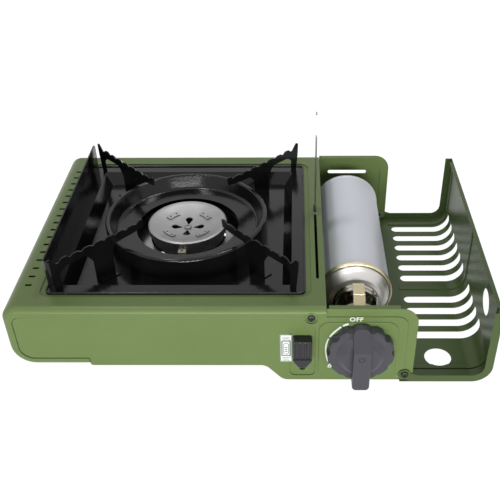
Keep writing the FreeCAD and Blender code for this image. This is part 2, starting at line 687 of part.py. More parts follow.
def make_mixing_tube():
    start, way, length = tube_line()
    neck = Part.makeCylinder(TUBE_R, length - TUBE_THROAT - 1, start, way)
    flare = Part.makeCone(TUBE_R + TUBE_FLARE, TUBE_R, TUBE_THROAT, start, way)
    bore = Part.makeCylinder(TUBE_R - 1, length, start, way)
    throat = Part.makeCone(TUBE_R + TUBE_FLARE - 1, TUBE_R - 1, TUBE_THROAT, start, way)
    add("mixing_tube", neck.fuse(flare).cut(bore).cut(throat).removeSplitter())


def make_burner_stand():
    """Bracket from the floor sheet up to the burner's cup, and the bright dish round it."""
    low = RAISED_Z + 2 * SHEET
    top = CUP_Z - CUP_NECK
    x0, x1 = BURNER_X - STAND_W / 2, BURNER_X + STAND_W / 2
    y0, y1 = BURNER_Y - STAND_L / 2, BURNER_Y + STAND_L / 2
    bridge = box(x0, x1, y0, y1, top - 1, top)
    legs = [box(x0, x1, y, y + 1, low, top) for y in (y0, y1 - 1)]
    feet = [box(x0, x1, y0 - 10, y0 + 0.5, low, low + 1), box(x0, x1, y1 - 0.5, y1 + 10, low, low + 1)]
    stand = fuse([bridge] + legs + feet)
    add("burner_bracket", stand.cut(mixing_bore(TUBE_R + HAIR)))
    rise = BODY_H - PAN_DEPTH
    dish = [(CUP_R + 1.5, rise - 5, 0), (DISH_FLAT, rise - 7, 6), (DISH_R, rise + 2, 0), (DISH_R, rise + 2.8, 0),
            (DISH_FLAT - 0.5, rise - 6.2, 6), (CUP_R + 1.5, rise - 4.2, 0)]
    dish = turned_outline(dish, BURNER_X, BURNER_Y)
    dish = dish.cut(box(SPARK_X - 6, SPARK_X + 6, SPARK_Y - 5, SPARK_Y + 4, 50, 90))
    lugs = []
    out = DISH_R - 7
    for i in range(3):
        leg = box(BURNER_X + out - 8, BURNER_X + out, BURNER_Y - 5, BURNER_Y + 5, low, low + 1)
        leg = leg.fuse(box(BURNER_X + out - 1, BURNER_X + out, BURNER_Y - 5, BURNER_Y + 5, low, rise - 2.2))
        lugs.append(turned(leg, BURNER_X, BURNER_Y, 0, "z", 40 + 120 * i))
    add("reflector_dish", dish)
    add("reflector_legs", *[lug.cut(dish) for lug in lugs])


def make_electrode():
    x, y, z = SPARK_X, SPARK_Y, CERAMIC_LOW
    low = RAISED_Z + 2 * SHEET
    block = box(x - 3.5, x + 3.5, y - 3, y + 3, z, z + CERAMIC_H)
    block = round_edges(block, 0.8, lambda b: b.XLength < 0.01 and b.YLength < 0.01)
    add("electrode_ceramic", block.cut(rod(x, y, z - 1, "z", WIRE_R + 0.05, CERAMIC_H + 5)))
    wire = rod(x, y, z - 4, "z", WIRE_R, CERAMIC_H + 5.6)
    tip = rod(x, y, z + CERAMIC_H + 0.9, "y", 0.7, 2.4)
    add("electrode_wire", wire.fuse(tip).removeSplitter())
    arm = box(x - 5, x + 5, y - 4.2, y - 3, low, z + CERAMIC_H - 3)
    foot = box(x - 5, x + 5, y - 12, y - 3, low, low + 1.2)
    clip = box(x - 5, x + 5, y - 3.1, y + 3, z - 1.2, z).cut(rod(x, y, z - 2, "z", 1.2, 3))
    add("electrode_bracket", fuse([arm, foot, clip]))


# Gas and controls

def ring_teeth(radius, lobes, depth, y, length):
    """Knob skirt: a disc whose edge runs in shallow scallops."""
    edge = [(0, 0), (radius - 1.2, 0), (radius, 1.2), (radius, length), (0, length)]
    disc = lathe([(r, y + h) for r, h in edge], CAN_X, 0, CAN_Z, "y")
    bites = []
    for i in range(lobes):
        angle = 2 * math.pi * (i + 0.5) / lobes
        reach = radius + 5.5 - depth
        x, z = CAN_X + reach * math.sin(angle), CAN_Z + reach * math.cos(angle)
        bites.append(rod(x, y - 1, z, "y", 5.5, length + 2))
    return disc.cut(Part.makeCompound(bites))


def make_knob():
    back = -PLATEAU_PROUD - KNOB_GAP
    skirt = ring_teeth(KNOB_R, KNOB_LOBES, 2.2, back - KNOB_SKIRT, KNOB_SKIRT)
    hub = cone(CAN_X, back - KNOB_SKIRT - 5, CAN_Z, "y", 15, 21, 5)
    half = GRIP_W / 2
    reach = KNOB_R - 0.6
    grip = rect(CAN_X - half, CAN_X + half, CAN_Z - reach, CAN_Z + reach, 3.5)
    bar = plate(grip, "y", -GRIP_OUT, back)
    bar = round_edges(bar, 1.8, lambda b: b.YLength < 0.01 and b.YMin < -GRIP_OUT + 1)
    slope = plate([(-GRIP_OUT - 1, CAN_Z + 14, 0), (-GRIP_OUT - 1, CAN_Z + KNOB_R + 1, 0),
                   (back - KNOB_SKIRT + 3, CAN_Z + KNOB_R + 1, 0)], "x", CAN_X - 20, CAN_X + 20)
    knob = skirt.fuse(hub).fuse(bar.cut(slope))
    bore = rod(CAN_X, back - 8, CAN_Z, "y", SHAFT_R, 20)
    add("control_knob", knob.cut(bore).removeSplitter())
    shaft = rod(CAN_X, back - 8, CAN_Z, "y", SHAFT_R, REG_FRONT + 9.5 - back)
    add("knob_shaft", shaft)


def spiral_cam(radius_low, radius_high, start, sweep, y, width):
    """Cam plate whose edge radius grows in step with the angle."""
    steps = 16
    points = [vec(CAN_X, y, CAN_Z)]
    for i in range(steps + 1):
        angle = math.radians(start + sweep * i / steps)
        r = radius_low + (radius_high - radius_low) * i / steps
        points.append(vec(CAN_X + r * math.sin(angle), y, CAN_Z + r * math.cos(angle)))
    curve = Part.BSplineCurve()
    curve.interpolate(points[1:])
    edges = [Part.makeLine(points[0], points[1]), curve.toShape(), Part.makeLine(points[-1], points[0])]
    return Part.Face(Part.Wire(edges)).extrude(vec(0, width, 0))


def make_cam():
    hub = rod(CAN_X, CAM_Y, CAN_Z, "y", CAM_LOW - 2, CAM_W)
    rate = CAM_RISE / KNOB_TURN
    sweep = KNOB_TURN + 2 * CAM_LEAD
    low = CAM_LOW - rate * CAM_LEAD
    cam = spiral_cam(low, low + rate * sweep, -90 - CAM_LEAD, sweep, CAM_Y, CAM_W)
    cam = hub.fuse(cam).cut(rod(CAN_X, CAM_Y - 1, CAN_Z, "y", SHAFT_R, CAM_W + 2))
    add("ignition_cam", cam.removeSplitter())


def make_regulator():
    z = CAN_Z
    flange = rod(CAN_X, REG_FRONT, z, "y", REG_R, 4)
    drum = rod(CAN_X, REG_FRONT + 4, z, "y", REG_R - 3, REG_L - 8)
    rear = rod(CAN_X, REG_FRONT + REG_L - 4, z, "y", REG_R - 8, 4)
    body = fuse([flange, drum, rear])
    body = body.cut(rod(CAN_X, REG_FRONT - 1, z, "y", SHAFT_R + 0.5, 6))
    body = body.cut(rod(CAN_X, REG_FRONT + REG_L - 6, z, "y", NOZZLE_R, 9))
    screw_at = []
    for i in range(4):
        angle = math.radians(45 + 90 * i)
        screw_at.append((CAN_X + (REG_R - 2.6) * math.cos(angle), z + (REG_R - 2.6) * math.sin(angle)))
    for x, sz in screw_at:
        body = body.cut(rod(x, REG_FRONT - 1, sz, "y", REG_BOLT_R, 3.5))
    add("regulator_body", body)
    face = REG_FRONT - REG_COVER
    cover = rod(CAN_X, face, z, "y", REG_R, REG_COVER)
    cover = cover.cut(rod(CAN_X, face - 1, z, "y", SHAFT_R + SHAFT_FIT, 9))
    bolts = []
    for x, sz in screw_at:
        cover = cover.cut(rod(x, face - 1, sz, "y", REG_BOLT_R, 6))
        head = rod(x, face - 1.2, sz, "y", 2.4, 1.2)
        bolts.append(head.fuse(rod(x, face, sz, "y", REG_BOLT_R - SHAFT_FIT, 5)).removeSplitter())
    add("regulator_cover", cover)
    add("regulator_screws", *bolts)
    nozzle = tube(CAN_X, REG_FRONT + REG_L - 6, z, "y", NOZZLE_R - SHAFT_FIT, NOZZLE_BORE, 9)
    add("inlet_nozzle", nozzle)
    seal = tube(CAN_X, REG_FRONT + REG_L + 3, z, "y", NOZZLE_R + 0.6, STEM_R + 0.4, 1.4)
    add("inlet_seal", seal)
    # Saddle bracket that ties the regulator to the floor
    low = LOW_Z + 2 * SHEET
    post = box(CAN_X - 16, CAN_X + 16, REG_FRONT + 5, REG_FRONT + 11, low, z)
    post = post.cut(rod(CAN_X, 0, z, "y", REG_R - 3, 60))
    base = box(CAN_X - 20, CAN_X + 20, REG_FRONT + 5, REG_FRONT + 18, low, low + 1)
    base = base.cut(rod(CAN_X, 0, z, "y", REG_R - 3, 60))
    add("regulator_bracket", post.fuse(base).removeSplitter())
    # Gas outlet to the left, and the jet that faces the mixing tube
    y = REG_FRONT + REG_L / 2
    run = math.sqrt((REG_R - 3) ** 2 - (JET_Z - z) ** 2)
    tip = vec(PARTITION_X - 4, TUBE_Y0 - 2, JET_Z)
    a = vec(CAN_X - run + 9, y, JET_Z)
    way = tip.sub(a)
    pipe = Part.makeCylinder(3.5, way.Length - 7, a, way)
    pipe = pipe.cut(rod(CAN_X, 0, z, "y", REG_R - 3, 60))
    jet = Part.makeCone(4.2, 2.0, 7, tip.sub(way * (7 / way.Length)), way)
    pipe = pipe.cut(jet)
    add("gas_pipe", pipe)
    add("gas_jet", jet)
    # Tongue that leads the cartridge's collar into place
    y0 = REG_FRONT + 4
    top = z + CAN_R - 2
    seat = z + REG_R - 3
    strap = [(y0, seat + 0.9, 0), (y0 + 5, seat + 0.9, 1), (y0 + 14, top, 2), (TONGUE_END - 4, top, 3),
             (TONGUE_END, top - 2, 0), (TONGUE_END - 0.5, top - 3.2, 0), (TONGUE_END - 4.4, top - 1.2, 2),
             (y0 + 14.5, top - 1.2, 2), (y0 + 5.4, seat - 0.3, 1), (y0, seat - 0.3, 0)]
    tongue = plate(strap, "x", CAN_X - TONGUE_W / 2, CAN_X + TONGUE_W / 2)
    add("guide_tongue", tongue.cut(rod(CAN_X, 0, z, "y", REG_R - 3, 60)))


def make_piezo():
    """Spark unit behind the panel with its plunger on the knob's cam."""
    x0, y = PIEZO_X, CAM_Y + CAM_W / 2
    case = box(x0, x0 + PIEZO_L, SHEET - PLATEAU_PROUD, REG_FRONT - 4.5, CAN_Z - 7, CAN_Z + 7)
    case = case.cut(rod(x0 + 1.5, y, CAN_Z, "x", PIEZO_R, PIEZO_L))
    add("piezo_unit", case)
    tip = CAN_X - CAM_LOW - 0.5
    inner = x0 + 1.5 + CAM_RISE + 0.4
    add("piezo_plunger", rod(inner, y, CAN_Z, "x", PIEZO_R - SHAFT_FIT, tip - inner))


def make_lever():
    back = 0.6
    x0, x1 = LEVER_X - LEVER_W / 2, LEVER_X + LEVER_W / 2
    top = LEVER_LOW + LEVER_TALL
    cap = plate([(x0, LEVER_LOW + 8, 3), (LEVER_X - 2.5, LEVER_LOW, 4), (LEVER_X + 2.5, LEVER_LOW, 4),
                 (x1, LEVER_LOW + 8, 3), (x1, top, 2), (x0, top, 2)], "y", back - LEVER_OUT, back)
    cap = round_edges(cap, 1.2, lambda b: b.YLength < 0.01 and b.YMin < back - 1)
    shelf, face = LEVER_LOW + 10, back - LEVER_OUT
    bites = [box(x0 - 1, x1 + 1, face - 1, face + 0.7, shelf, shelf + 1.2)]
    for i in range(LEVER_RIBS):
        x = LEVER_X + (i - 1) * LEVER_W * 0.29
        bites.append(rod(x, face - 1.1, shelf + 1, "z", 2.0, LEVER_TALL))
    cap = cap.cut(Part.makeCompound(bites))
    add("lever_cap", cap)
    half = LEVER_SLOT / 2 - 0.15
    y0, y1 = LEVER_PLATE_Y, LEVER_PLATE_Y + RAIL_T
    stem = box(LEVER_X - half, LEVER_X + half, back, y0 + 0.5, LEVER_LOW + 6.8, top - 6)
    slab = box(x0, LEVER_X + 5.9, y0, y1, LEVER_LOW, top)
    web = box(LEVER_X + 4.7, LEVER_X + 5.9, y0, 28, LEVER_LOW, LEVER_LOW + 25)
    # Slanted slot: as the lever goes down, the pin in it is carried forward
    path = [(PIN_Y, PIN_Z), (PIN_Y - CLAMP_TRAVEL, PIN_Z + LEVER_TRAVEL)]
    slant = [rod(LEVER_X, u, v, "x", LINK_PIN_R + SLIDE_GAP, 10) for u, v in path]
    du, dv = -CLAMP_TRAVEL, LEVER_TRAVEL
    size = math.hypot(du, dv)
    nu, nv = dv / size * (LINK_PIN_R + SLIDE_GAP), -du / size * (LINK_PIN_R + SLIDE_GAP)
    ends = [(path[0][0] + nu, path[0][1] + nv, 0), (path[1][0] + nu, path[1][1] + nv, 0),
            (path[1][0] - nu, path[1][1] - nv, 0), (path[0][0] - nu, path[0][1] - nv, 0)]
    slant.append(plate(ends, "x", LEVER_X, LEVER_X + 10))
    add("lever_slide", cut(fuse([stem, slab, web]), slant))
    y_back = 1.0 + SHEET
    left = box(x0 - 2, x0 - SLIDE_GAP, y_back, y1 + 1.4, 12, top + 4)
    lip = box(x0 - 2, x0 + 2, y1 + SLIDE_GAP, y1 + 1.4, 12, top + 4)
    right = box(LEVER_X + 6.3, LEVER_X + 7.6, y_back, y1 + 1.4, 12, top + 4)
    add("lever_guides", left.fuse(lip).removeSplitter(), right)


def make_pusher():
    """Slide that carries the cartridge forward: link plate, rail and rear upright."""
    low = LOW_Z + 2 * SHEET + SLIDE_GAP
    x = LEVER_X + 6.3
    arm = box(x, x + 1.2, PIN_Y - 4, PIN_Y + 5, low, PIN_Z + 3)
    pin = rod(LEVER_X + 4.2, PIN_Y, PIN_Z, "x", LINK_PIN_R, 3)
    cross = box(x, RAIL_X + RAIL_W, PIN_Y - 4, PIN_Y + 5, low, low + RAIL_T)
    rail = box(RAIL_X, RAIL_X + RAIL_W, PIN_Y - 4, CAN_REAR + 1.5, low, low + RAIL_T)
    upright = box(RAIL_X, CAN_X + 12, CAN_REAR + 0.3, CAN_REAR + 1.5, low, CAN_Z + 2)
    add("pusher_slide", fuse([arm, pin, cross, rail, upright]))


def make_cradle():
    """Two upright saddles on the floor, whose sloped flats carry the cartridge."""
    low = LOW_Z + 2 * SHEET
    lean = math.radians(SADDLE_LEAN)
    reach = CAN_R + CAN_CLEAR

    def flat_x(z):
        return (reach - (CAN_Z - z) * math.cos(lean)) / math.sin(lean)

    seat, top = low + 1, CAN_Z - SADDLE_DROP
    near, far = flat_x(seat), flat_x(top)
    edge = [(CAN_X - far, low, 0), (CAN_X + far, low, 0), (CAN_X + far, top, 0), (CAN_X + near, seat, 0),
            (CAN_X - near, seat, 0), (CAN_X - far, top, 0)]
    saddles = []
    for y in (CAN_FRONT + SADDLE_INSET, CAN_REAR - SADDLE_INSET):
        foot = box(CAN_X - far, CAN_X + far, y, y + 10, low, seat)
        saddles.append(plate(edge, "y", y, y + 1.2).fuse(foot).removeSplitter())
    add("cartridge_cradle", *saddles)


def make_cartridge():
    wall, y0, y1 = CAN_WALL, CAN_FRONT, CAN_REAR
    s = SEAM_R
    outer = [(0, y1 - 6), (CAN_R - 12, y1 - 5), (CAN_R - 3, y1 - 3), (CAN_R - 1.6, y1), (CAN_R, y1 - 0.6)]
    outer += [(CAN_R, y1 - 3.2), (CAN_R - 0.6, y1 - 4), (CAN_R - 0.6, y0 + 3.5)]
    inner = [(CAN_R - 0.6 - wall, y0 + 3.5), (CAN_R - 0.6 - wall, y1 - 4), (CAN_R - 3.6, y1 - 4.6)]
    inner += [(CAN_R - 12, y1 - 6.2), (0, y1 - 7.2)]
    can = lathe([(r, h) for r, h in outer + inner], CAN_X, 0, CAN_Z, "y")
    add("cartridge_can", can)
    seam = [(CAN_R - 0.6, 3.5), (CAN_R + s - 0.8, 3.2), (CAN_R + s - 0.4, 1.6), (CAN_R + s - 0.8, 0),
            (CAN_R - 0.4, -0.8), (CAN_R - 1.6, 0.2), (CAN_R - 1.6, 3.5)]
    add("cartridge_seam", lathe([(r, y0 + h) for r, h in seam], CAN_X, 0, CAN_Z, "y"))
    out, ins = [], []
    steps = 9
    for i in range(steps + 1):
        angle = math.pi / 2 * i / steps
        r = DOME_R + (CAN_R - 1.6 - DOME_R) * math.cos(angle)
        h = y0 + 1 - DOME_L * math.sin(angle) ** 1.3
        out.append((r, h))
        ins.append((r - wall * math.cos(angle), h + wall * math.sin(angle) + HAIR))
    add("cartridge_dome", lathe(out + list(reversed(ins)), CAN_X, 0, CAN_Z, "y"))
    yc = y0 + 1 - DOME_L
    collar = [(DOME_R, yc), (DOME_R, yc - 1), (COLLAR_R, yc - 2.2), (COLLAR_R, yc - COLLAR_L + 1),
              (COLLAR_R - 1, yc - COLLAR_L), (COLLAR_R - 2.2, yc - COLLAR_L + 0.6),
              (COLLAR_R - 2.2, yc - 2.4), (DOME_R - 4, yc - 0.6), (DOME_R - 4, yc)]
    add("cartridge_collar", lathe(collar, CAN_X, 0, CAN_Z, "y"))
    cup = [(0, yc + 1), (DOME_R - 4, yc + 1), (DOME_R - 4, yc - 0.2), (CUP_NECK_R, yc - 0.4),
           (CUP_NECK_R - 0.6, yc - COLLAR_L - 3), (CUP_NECK_R - 3, yc - COLLAR_L - 4), (0, yc - COLLAR_L - 4)]
    cup = lathe(cup, CAN_X, 0, CAN_Z, "y")
    add("valve_cup", cup.cut(rod(CAN_X, yc - 20, CAN_Z, "y", STEM_R, 30)))
    add("valve_stem", tube(CAN_X, STEM_TIP, CAN_Z, "y", STEM_R, 0.6, STEM_L))


def make_lid():
    t = SHEET
    z0 = HINGE_Z - HINGE_ARM
    x1 = HINGE_X + LID_REACH
    x0 = HINGE_X - 3.8
    band = [(x0, z0, 0), (x1, z0, LID_BEND), (x1, LID_TOP, 0), (x1 - t, LID_TOP, 0),
            (x1 - t, z0 + t, LID_BEND - t), (x0, z0 + t, 0)]
    sheet = plate(band, "y", 0, BODY_D)
    depth = LID_FLANGE
    edge = [(HINGE_X + 6, z0, 0), (x1, z0, LID_BEND), (x1, LID_TOP, 0), (x1 - depth, LID_TOP, 0),
            (x1 - depth, z0 + depth, LID_BEND - depth), (HINGE_X + 6, z0 + depth, 0)]
    flange = plate(edge, "y", 0, t)
    ear = rod(HINGE_X, 0, HINGE_Z, "y", EAR_R, t)
    arm = plate([(HINGE_X - 1, HINGE_Z - 5.4, 0), (HINGE_X + 7, z0, 0), (HINGE_X + 13, z0, 0),
                 (HINGE_X + 13, z0 + depth, 0), (HINGE_X + 5.3, HINGE_Z + 1.3, 0), (HINGE_X, HINGE_Z, 0)],
                "y", 0, t)
    side = flange.fuse(ear).fuse(arm).cut(rod(HINGE_X, -1, HINGE_Z, "y", PIN_R + SHAFT_FIT, 4))
    lip = box(x1 - 3.8, x1, RIM, BODY_D - RIM, LID_TOP - t, LID_TOP)
    lid = sheet.fuse(side).fuse(mirrored(side)).fuse(lip)
    # Stiffening beads across the sheet, at the middle and near both ends
    deep = t + LID_BEAD
    bead = [(x0 + 14, z0 + t / 2, 0), (x1 - t / 2, z0 + t / 2, LID_BEND - t / 2), (x1 - t / 2, LID_TOP - 4, 0),
            (x1 - deep, LID_TOP - 4, 0), (x1 - deep, z0 + deep, LID_BEND - deep), (x0 + 14, z0 + deep, 0)]
    for y in (2.5 * RIM - LID_BEAD_W, BODY_D / 2 - LID_BEAD_W / 2, BODY_D - 2 * RIM):
        lid = lid.fuse(plate(bead, "y", y, y + LID_BEAD_W))
    tools = []
    middle = BODY_D / 2
    front_pitch = (middle - 18 - LID_SLOT_FRONT) / 3
    rear_pitch = (middle - 16.5 - LID_SLOT_REAR) / 5
    rows = [LID_SLOT_FRONT + front_pitch * i for i in range(4)]
    rows += [middle + 16.5 + rear_pitch * i for i in range(6)]
    for y in rows:
        flat = rect(HINGE_X + 13, x1 + 5, y - LID_SLOT / 2, y + LID_SLOT / 2, LID_SLOT / 2 - 0.05)
        lower = plate(flat, "z", z0 - 1, z0 + 9).cut(box(x1 - 9, x1 + 9, 0, BODY_D, z0 - 2, z0 + 12))
        upper = rect(y - LID_SLOT / 2, y + LID_SLOT / 2, z0 - 20, z0 + 19, LID_SLOT / 2 - 0.05)
        side = plate(upper, "x", x1 - 9.001, x1 + 2).cut(box(0, x1 - 9, 0, BODY_D, 0, 99))
        tools += [lower, side]
    tools.append(rod(HINGE_X + 34, 30, z0 - 1, "z", 12, 4))
    tools.append(rod(x1 - 3, 52, 48, "x", 12.2, 6))
    add("lid_shell", cut(lid, tools).removeSplitter())
    front = cross_screw(HINGE_X, -SCREW_HEAD - HAIR, HINGE_Z, 0.2)
    front = front.fuse(rod(HINGE_X, -HAIR, HINGE_Z, "y", PIN_R, 6)).removeSplitter()
    add("hinge_screws", front, mirrored(front))
    hexagon = []
    for i in range(6):
        angle = math.radians(60 * i)
        hexagon.append((HINGE_X + 4 * math.cos(angle), HINGE_Z + 4 * math.sin(angle), 0))
    nut = plate(hexagon, "y", FIELD_PROUD + t, FIELD_PROUD + t + 2.6)
    nut = nut.cut(rod(HINGE_X, 0, HINGE_Z, "y", PIN_R, 9))
    add("hinge_nuts", nut, mirrored(nut))


def make_blade():
    half = BLADE_W / 2
    tip = BLADE_Z + BLADE_L
    points = [(BLADE_Y - half, BLADE_Z - half, 5), (BLADE_Y + half, BLADE_Z - half, 5),
              (BLADE_Y + half, tip - 20, 20), (BLADE_Y + 3, tip, 2.5), (BLADE_Y - 3, tip, 2.5),
              (BLADE_Y - half, tip - 20, 20)]
    blade = plate(points, "x", BLADE_X - BLADE_T / 2, BLADE_X + BLADE_T / 2)
    blade = blade.cut(rod(BLADE_X - 5, BLADE_Y, BLADE_Z, "x", BLADE_PIN_R + SHAFT_FIT, 10))
    add("guard_blade", blade)
    top = BODY_H - SHEET
    ears = []
    for x in (BLADE_X - 2.4, BLADE_X + 1.4):
        ear = plate(rect(BLADE_Y - 5, BLADE_Y + 5, BLADE_Z - 5, top, 0), "x", x, x + 1)
        ears.append(ear.cut(rod(BLADE_X - 9, BLADE_Y, BLADE_Z, "x", BLADE_PIN_R, 18)))
    wing = box(BLADE_X - 3.3, BLADE_X - 1.4, BLADE_Y - 5, BLADE_Y + 5, top - 0.6, top)
    add("blade_bracket", ears[0].fuse(wing).removeSplitter(), ears[1])
    add("blade_pin", rod(BLADE_X - 2.4, BLADE_Y, BLADE_Z, "x", BLADE_PIN_R, 4.8))


def bent_tube(points, radius, bend):
    """Round tube along straight runs joined by tangent arcs."""
    here, edges = points[0], []
    for i in range(1, len(points) - 1):
        p, q, r = points[i - 1], points[i], points[i + 1]
        u, w = p.sub(q), r.sub(q)
        shorter = min(u.Length, w.Length)
        u.normalize()
        w.normalize()
        half = u.getAngle(w) / 2
        back = min(bend / math.tan(half), 0.45 * shorter)
        size = back * math.tan(half)
        a, b = q + u * back, q + w * back
        m = u + w
        m.normalize()
        mid = q + m * (size / math.sin(half) - size)
        edges.append(Part.LineSegment(here, a).toShape())
        edges.append(Part.Arc(a, mid, b).toShape())
        here = b
    edges.append(Part.LineSegment(here, points[-1]).toShape())
    path = Part.Wire(edges)
    way = points[1].sub(points[0])
    ring = Part.Wire(Part.makeCircle(radius, points[0], way))
    return path.makePipeShell([ring], True, False)


def make_lead():
    x, y = SPARK_X, SPARK_Y
    px, py, pz = PIEZO_X + 5, SHEET - PLATEAU_PROUD + 6, CAN_Z + 7
    high = SCREW_TOP[1] - 11
    points = [vec(px, py, pz), vec(px, py, high), vec(px - 40.5, 9, high - 1), vec(px - 63.5, 62, 50),
              vec(x + 20, y + 2, 40), vec(x, y, 44), vec(x, y, CERAMIC_LOW - 4.1)]
    add("ignition_lead", bent_tube(points, 1.2, 8))


def build_all():
    os.makedirs("parts", exist_ok=True)
    for make in (make_top_shell, make_front_panel, make_rear_panel, make_base_plate, make_partition,
                 make_feet, make_panel_screws, make_drip_pan, make_supports, make_burner,
                 make_mixing_tube, make_burner_stand, make_electrode, make_knob, make_cam,
                 make_regulator, make_piezo, make_lever, make_pusher, make_cradle, make_cartridge,
                 make_lid, make_blade, make_lead):
        make()
    whole = Part.makeCompound(list(PARTS.values())).optimalBoundingBox(False, False)
    shift = vec(-(whole.XMin + whole.XMax) / 2, -(whole.YMin + whole.YMax) / 2, -whole.ZMin)
    for name, shape in PARTS.items():
        shape.translate(shift)
        shape.exportStep("parts/" + name + ".step")
        if not shape.isValid():
            print("not valid:", name)
    print("origin moved by", shift, "size", whole.XLength, whole.YLength, whole.ZLength)


build_all()
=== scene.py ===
"""Finishes, printed marks, cartridge dressing, floor, lights and camera for the table stove."""

import json
import math

import bmesh
import bpy
from mathutils import Matrix, Vector


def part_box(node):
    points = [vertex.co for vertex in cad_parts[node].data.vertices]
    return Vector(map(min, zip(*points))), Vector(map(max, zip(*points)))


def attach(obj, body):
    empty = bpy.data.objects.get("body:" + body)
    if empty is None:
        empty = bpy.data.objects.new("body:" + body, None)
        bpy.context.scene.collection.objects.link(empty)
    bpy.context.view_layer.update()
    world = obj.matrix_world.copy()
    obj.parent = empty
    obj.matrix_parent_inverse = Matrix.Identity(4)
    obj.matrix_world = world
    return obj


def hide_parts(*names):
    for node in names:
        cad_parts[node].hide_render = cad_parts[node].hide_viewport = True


bl_info = {
    "name": "Table Stove Dressing",
    "version": (1, 0, 0),
    "blender": (4, 5, 0),
    "location": "View3D > Sidebar > Stove",
    "description": "Paints and dresses a gas table stove around its packed frame",
    "category": "Object",
}

MM = 0.001
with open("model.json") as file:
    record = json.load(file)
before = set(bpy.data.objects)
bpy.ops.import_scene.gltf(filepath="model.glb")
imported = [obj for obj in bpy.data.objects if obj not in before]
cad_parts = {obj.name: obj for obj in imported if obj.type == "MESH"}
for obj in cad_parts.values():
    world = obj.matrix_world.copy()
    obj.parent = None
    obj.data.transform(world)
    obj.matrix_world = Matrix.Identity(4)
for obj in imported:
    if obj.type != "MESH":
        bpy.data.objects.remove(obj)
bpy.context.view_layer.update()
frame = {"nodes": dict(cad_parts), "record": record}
SHELL_LOW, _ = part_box("top_shell")
LEFT_X, FRONT_Y = SHELL_LOW.x / MM, SHELL_LOW.y / MM
CAN_LOW, CAN_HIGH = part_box("cartridge_can")
CAP_LOW, CAP_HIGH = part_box("burner_cap")
KNOB_LOW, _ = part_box("control_knob")


# Printed marks, in bench millimetres: (x, z) on the front, or x0, x1, z0, z1
DIAL_FACE = -1.0
OFF_AT = (292.6, 70.0)
FLAME_AT = (271.6, 21.1)
DIAL_ARC = [
    (286.2, 68.0), (280.3, 64.8), (272.2, 55.6), (268.6, 46.1), (268.2, 35.9), (270.2, 26.0),
]
ARC_STEPS = 10
ARC_WIDE, ARC_TAPER = 1.9, 1.0
ARC_GAPS = ((0.17, 0.20), (0.44, 0.465))
FLAME_OUTLINE = [
    (0, -2.4), (1.3, -2.1), (1.9, -0.9), (1.5, 0.4), (0.8, 0.9), (0.7, 2.4), (-0.4, 1.4),
    (-1.1, 0.1), (-1.7, -0.9), (-1.2, -2.1),
]
CAPITAL_SHARE = 0.7
LABEL_BOX = (229.6, 239.8, 24.6, 55.4)
LABEL_SKIN, LABEL_INK = -0.08, -0.14
DIMPLE_AT = (296.6, 49.0)
DIMPLE_STEPS = 40
DIMPLE_SINK = 0.12
# Each point of the ring's section is its radius and its depth
DIMPLE_SECTION = [(2.6, 0.02), (2.45, -0.12), (2.1, -0.12), (1.95, 0.02)]

# Cartridge, in millimetres
CAN_R = 33.3
CAN_ARC_R = 33.0
SEAM_REACH = 3.5
SHOULDER_STEPS = 22
SHOULDER_END_R = 20.5
SHOULDER_LONG = 13.0
SHOULDER_POWER = 1.3
SHOULDER_SHEET = 0.5
TURNED_STEPS = 128
TURNED_SHARP = 50.0

# Stage: colours, strengths and lamps (place, aim, size in metres, power in watts)
FLOOR_MATT = (0.86, 0.86, 0.87, 1.0)
FLOOR_GLOW = 1.20
FLOOR_SHARE = 0.80
FLOOR_DROP = 0.0003
WHITE = (1.0, 1.0, 1.0, 1.0)
SKY_COLOUR = (0.95, 0.97, 1.0, 1.0)
SKY_STRENGTH = 0.30
LAMPS = (
    ("front", (0.1, -1.9, 0.34), (0.0, 0.0, 0.05), (1.6, 0.6), 38.0),
    ("window_left", (-0.32, 0.05, 1.15), (-0.05, 0.0, 0.05), (0.20, 0.11), 2.2),
    ("window_right", (0.22, 0.30, 1.10), (0.0, 0.0, 0.05), (0.20, 0.11), 1.8),
)
CAMERA_PLACE = (0.0364, -0.59706, 0.48098)
CAMERA_TURNS = ((0.791, "Z"), (52.925, "X"), (-0.514, "Z"))
CAMERA_SHIFT = (-0.0738, 0.0454)
SENSOR_WIDTH = 36.0


def bench(x, y, z):
    """Point in metres from millimetres off the housing's left side, front panel and table."""
    return Vector(((x + LEFT_X) * MM, (y + FRONT_Y) * MM, z * MM))


CAN_MID = ((CAN_LOW.x + CAN_HIGH.x) / 2, (CAN_LOW.z + CAN_HIGH.z) / 2)
CAP_MID = ((CAP_LOW.x + CAP_HIGH.x) / 2, (CAP_LOW.y + CAP_HIGH.y) / 2)


class StoveColours(bpy.types.PropertyGroup):
    """Linear colours of the finishes."""

    paint: bpy.props.FloatVectorProperty(
        name="Paint", description="Outside of the housing", subtype="COLOR",
        default=(0.122, 0.176, 0.056),
    )
    # Same green as the outside paint, darkened as painted shade for the lid and inner sheets, which
    # sit in shade
    paint_darkened_for_shade: bpy.props.FloatVectorProperty(
        name="Paint darkened as painted shade", description="Lid and inner sheets", subtype="COLOR",
        default=(0.058, 0.090, 0.028),
    )
    enamel: bpy.props.FloatVectorProperty(
        name="Enamel", description="Drip pan and pot supports", subtype="COLOR",
        default=(0.004, 0.004, 0.0045),
    )
    knob: bpy.props.FloatVectorProperty(
        name="Knob plastic", description="Control knob", subtype="COLOR",
        default=(0.036, 0.035, 0.044),
    )
    lever: bpy.props.FloatVectorProperty(
        name="Lever plastic", description="Clamp lever", subtype="COLOR",
        default=(0.010, 0.010, 0.012),
    )
    can: bpy.props.FloatVectorProperty(
        name="Cartridge print", description="Printed side of the cartridge", subtype="COLOR",
        default=(0.185, 0.192, 0.232),
    )
    print_white: bpy.props.FloatVectorProperty(
        name="Print white", description="Dial marks and lever label", subtype="COLOR",
        default=(0.780, 0.790, 0.770),
    )


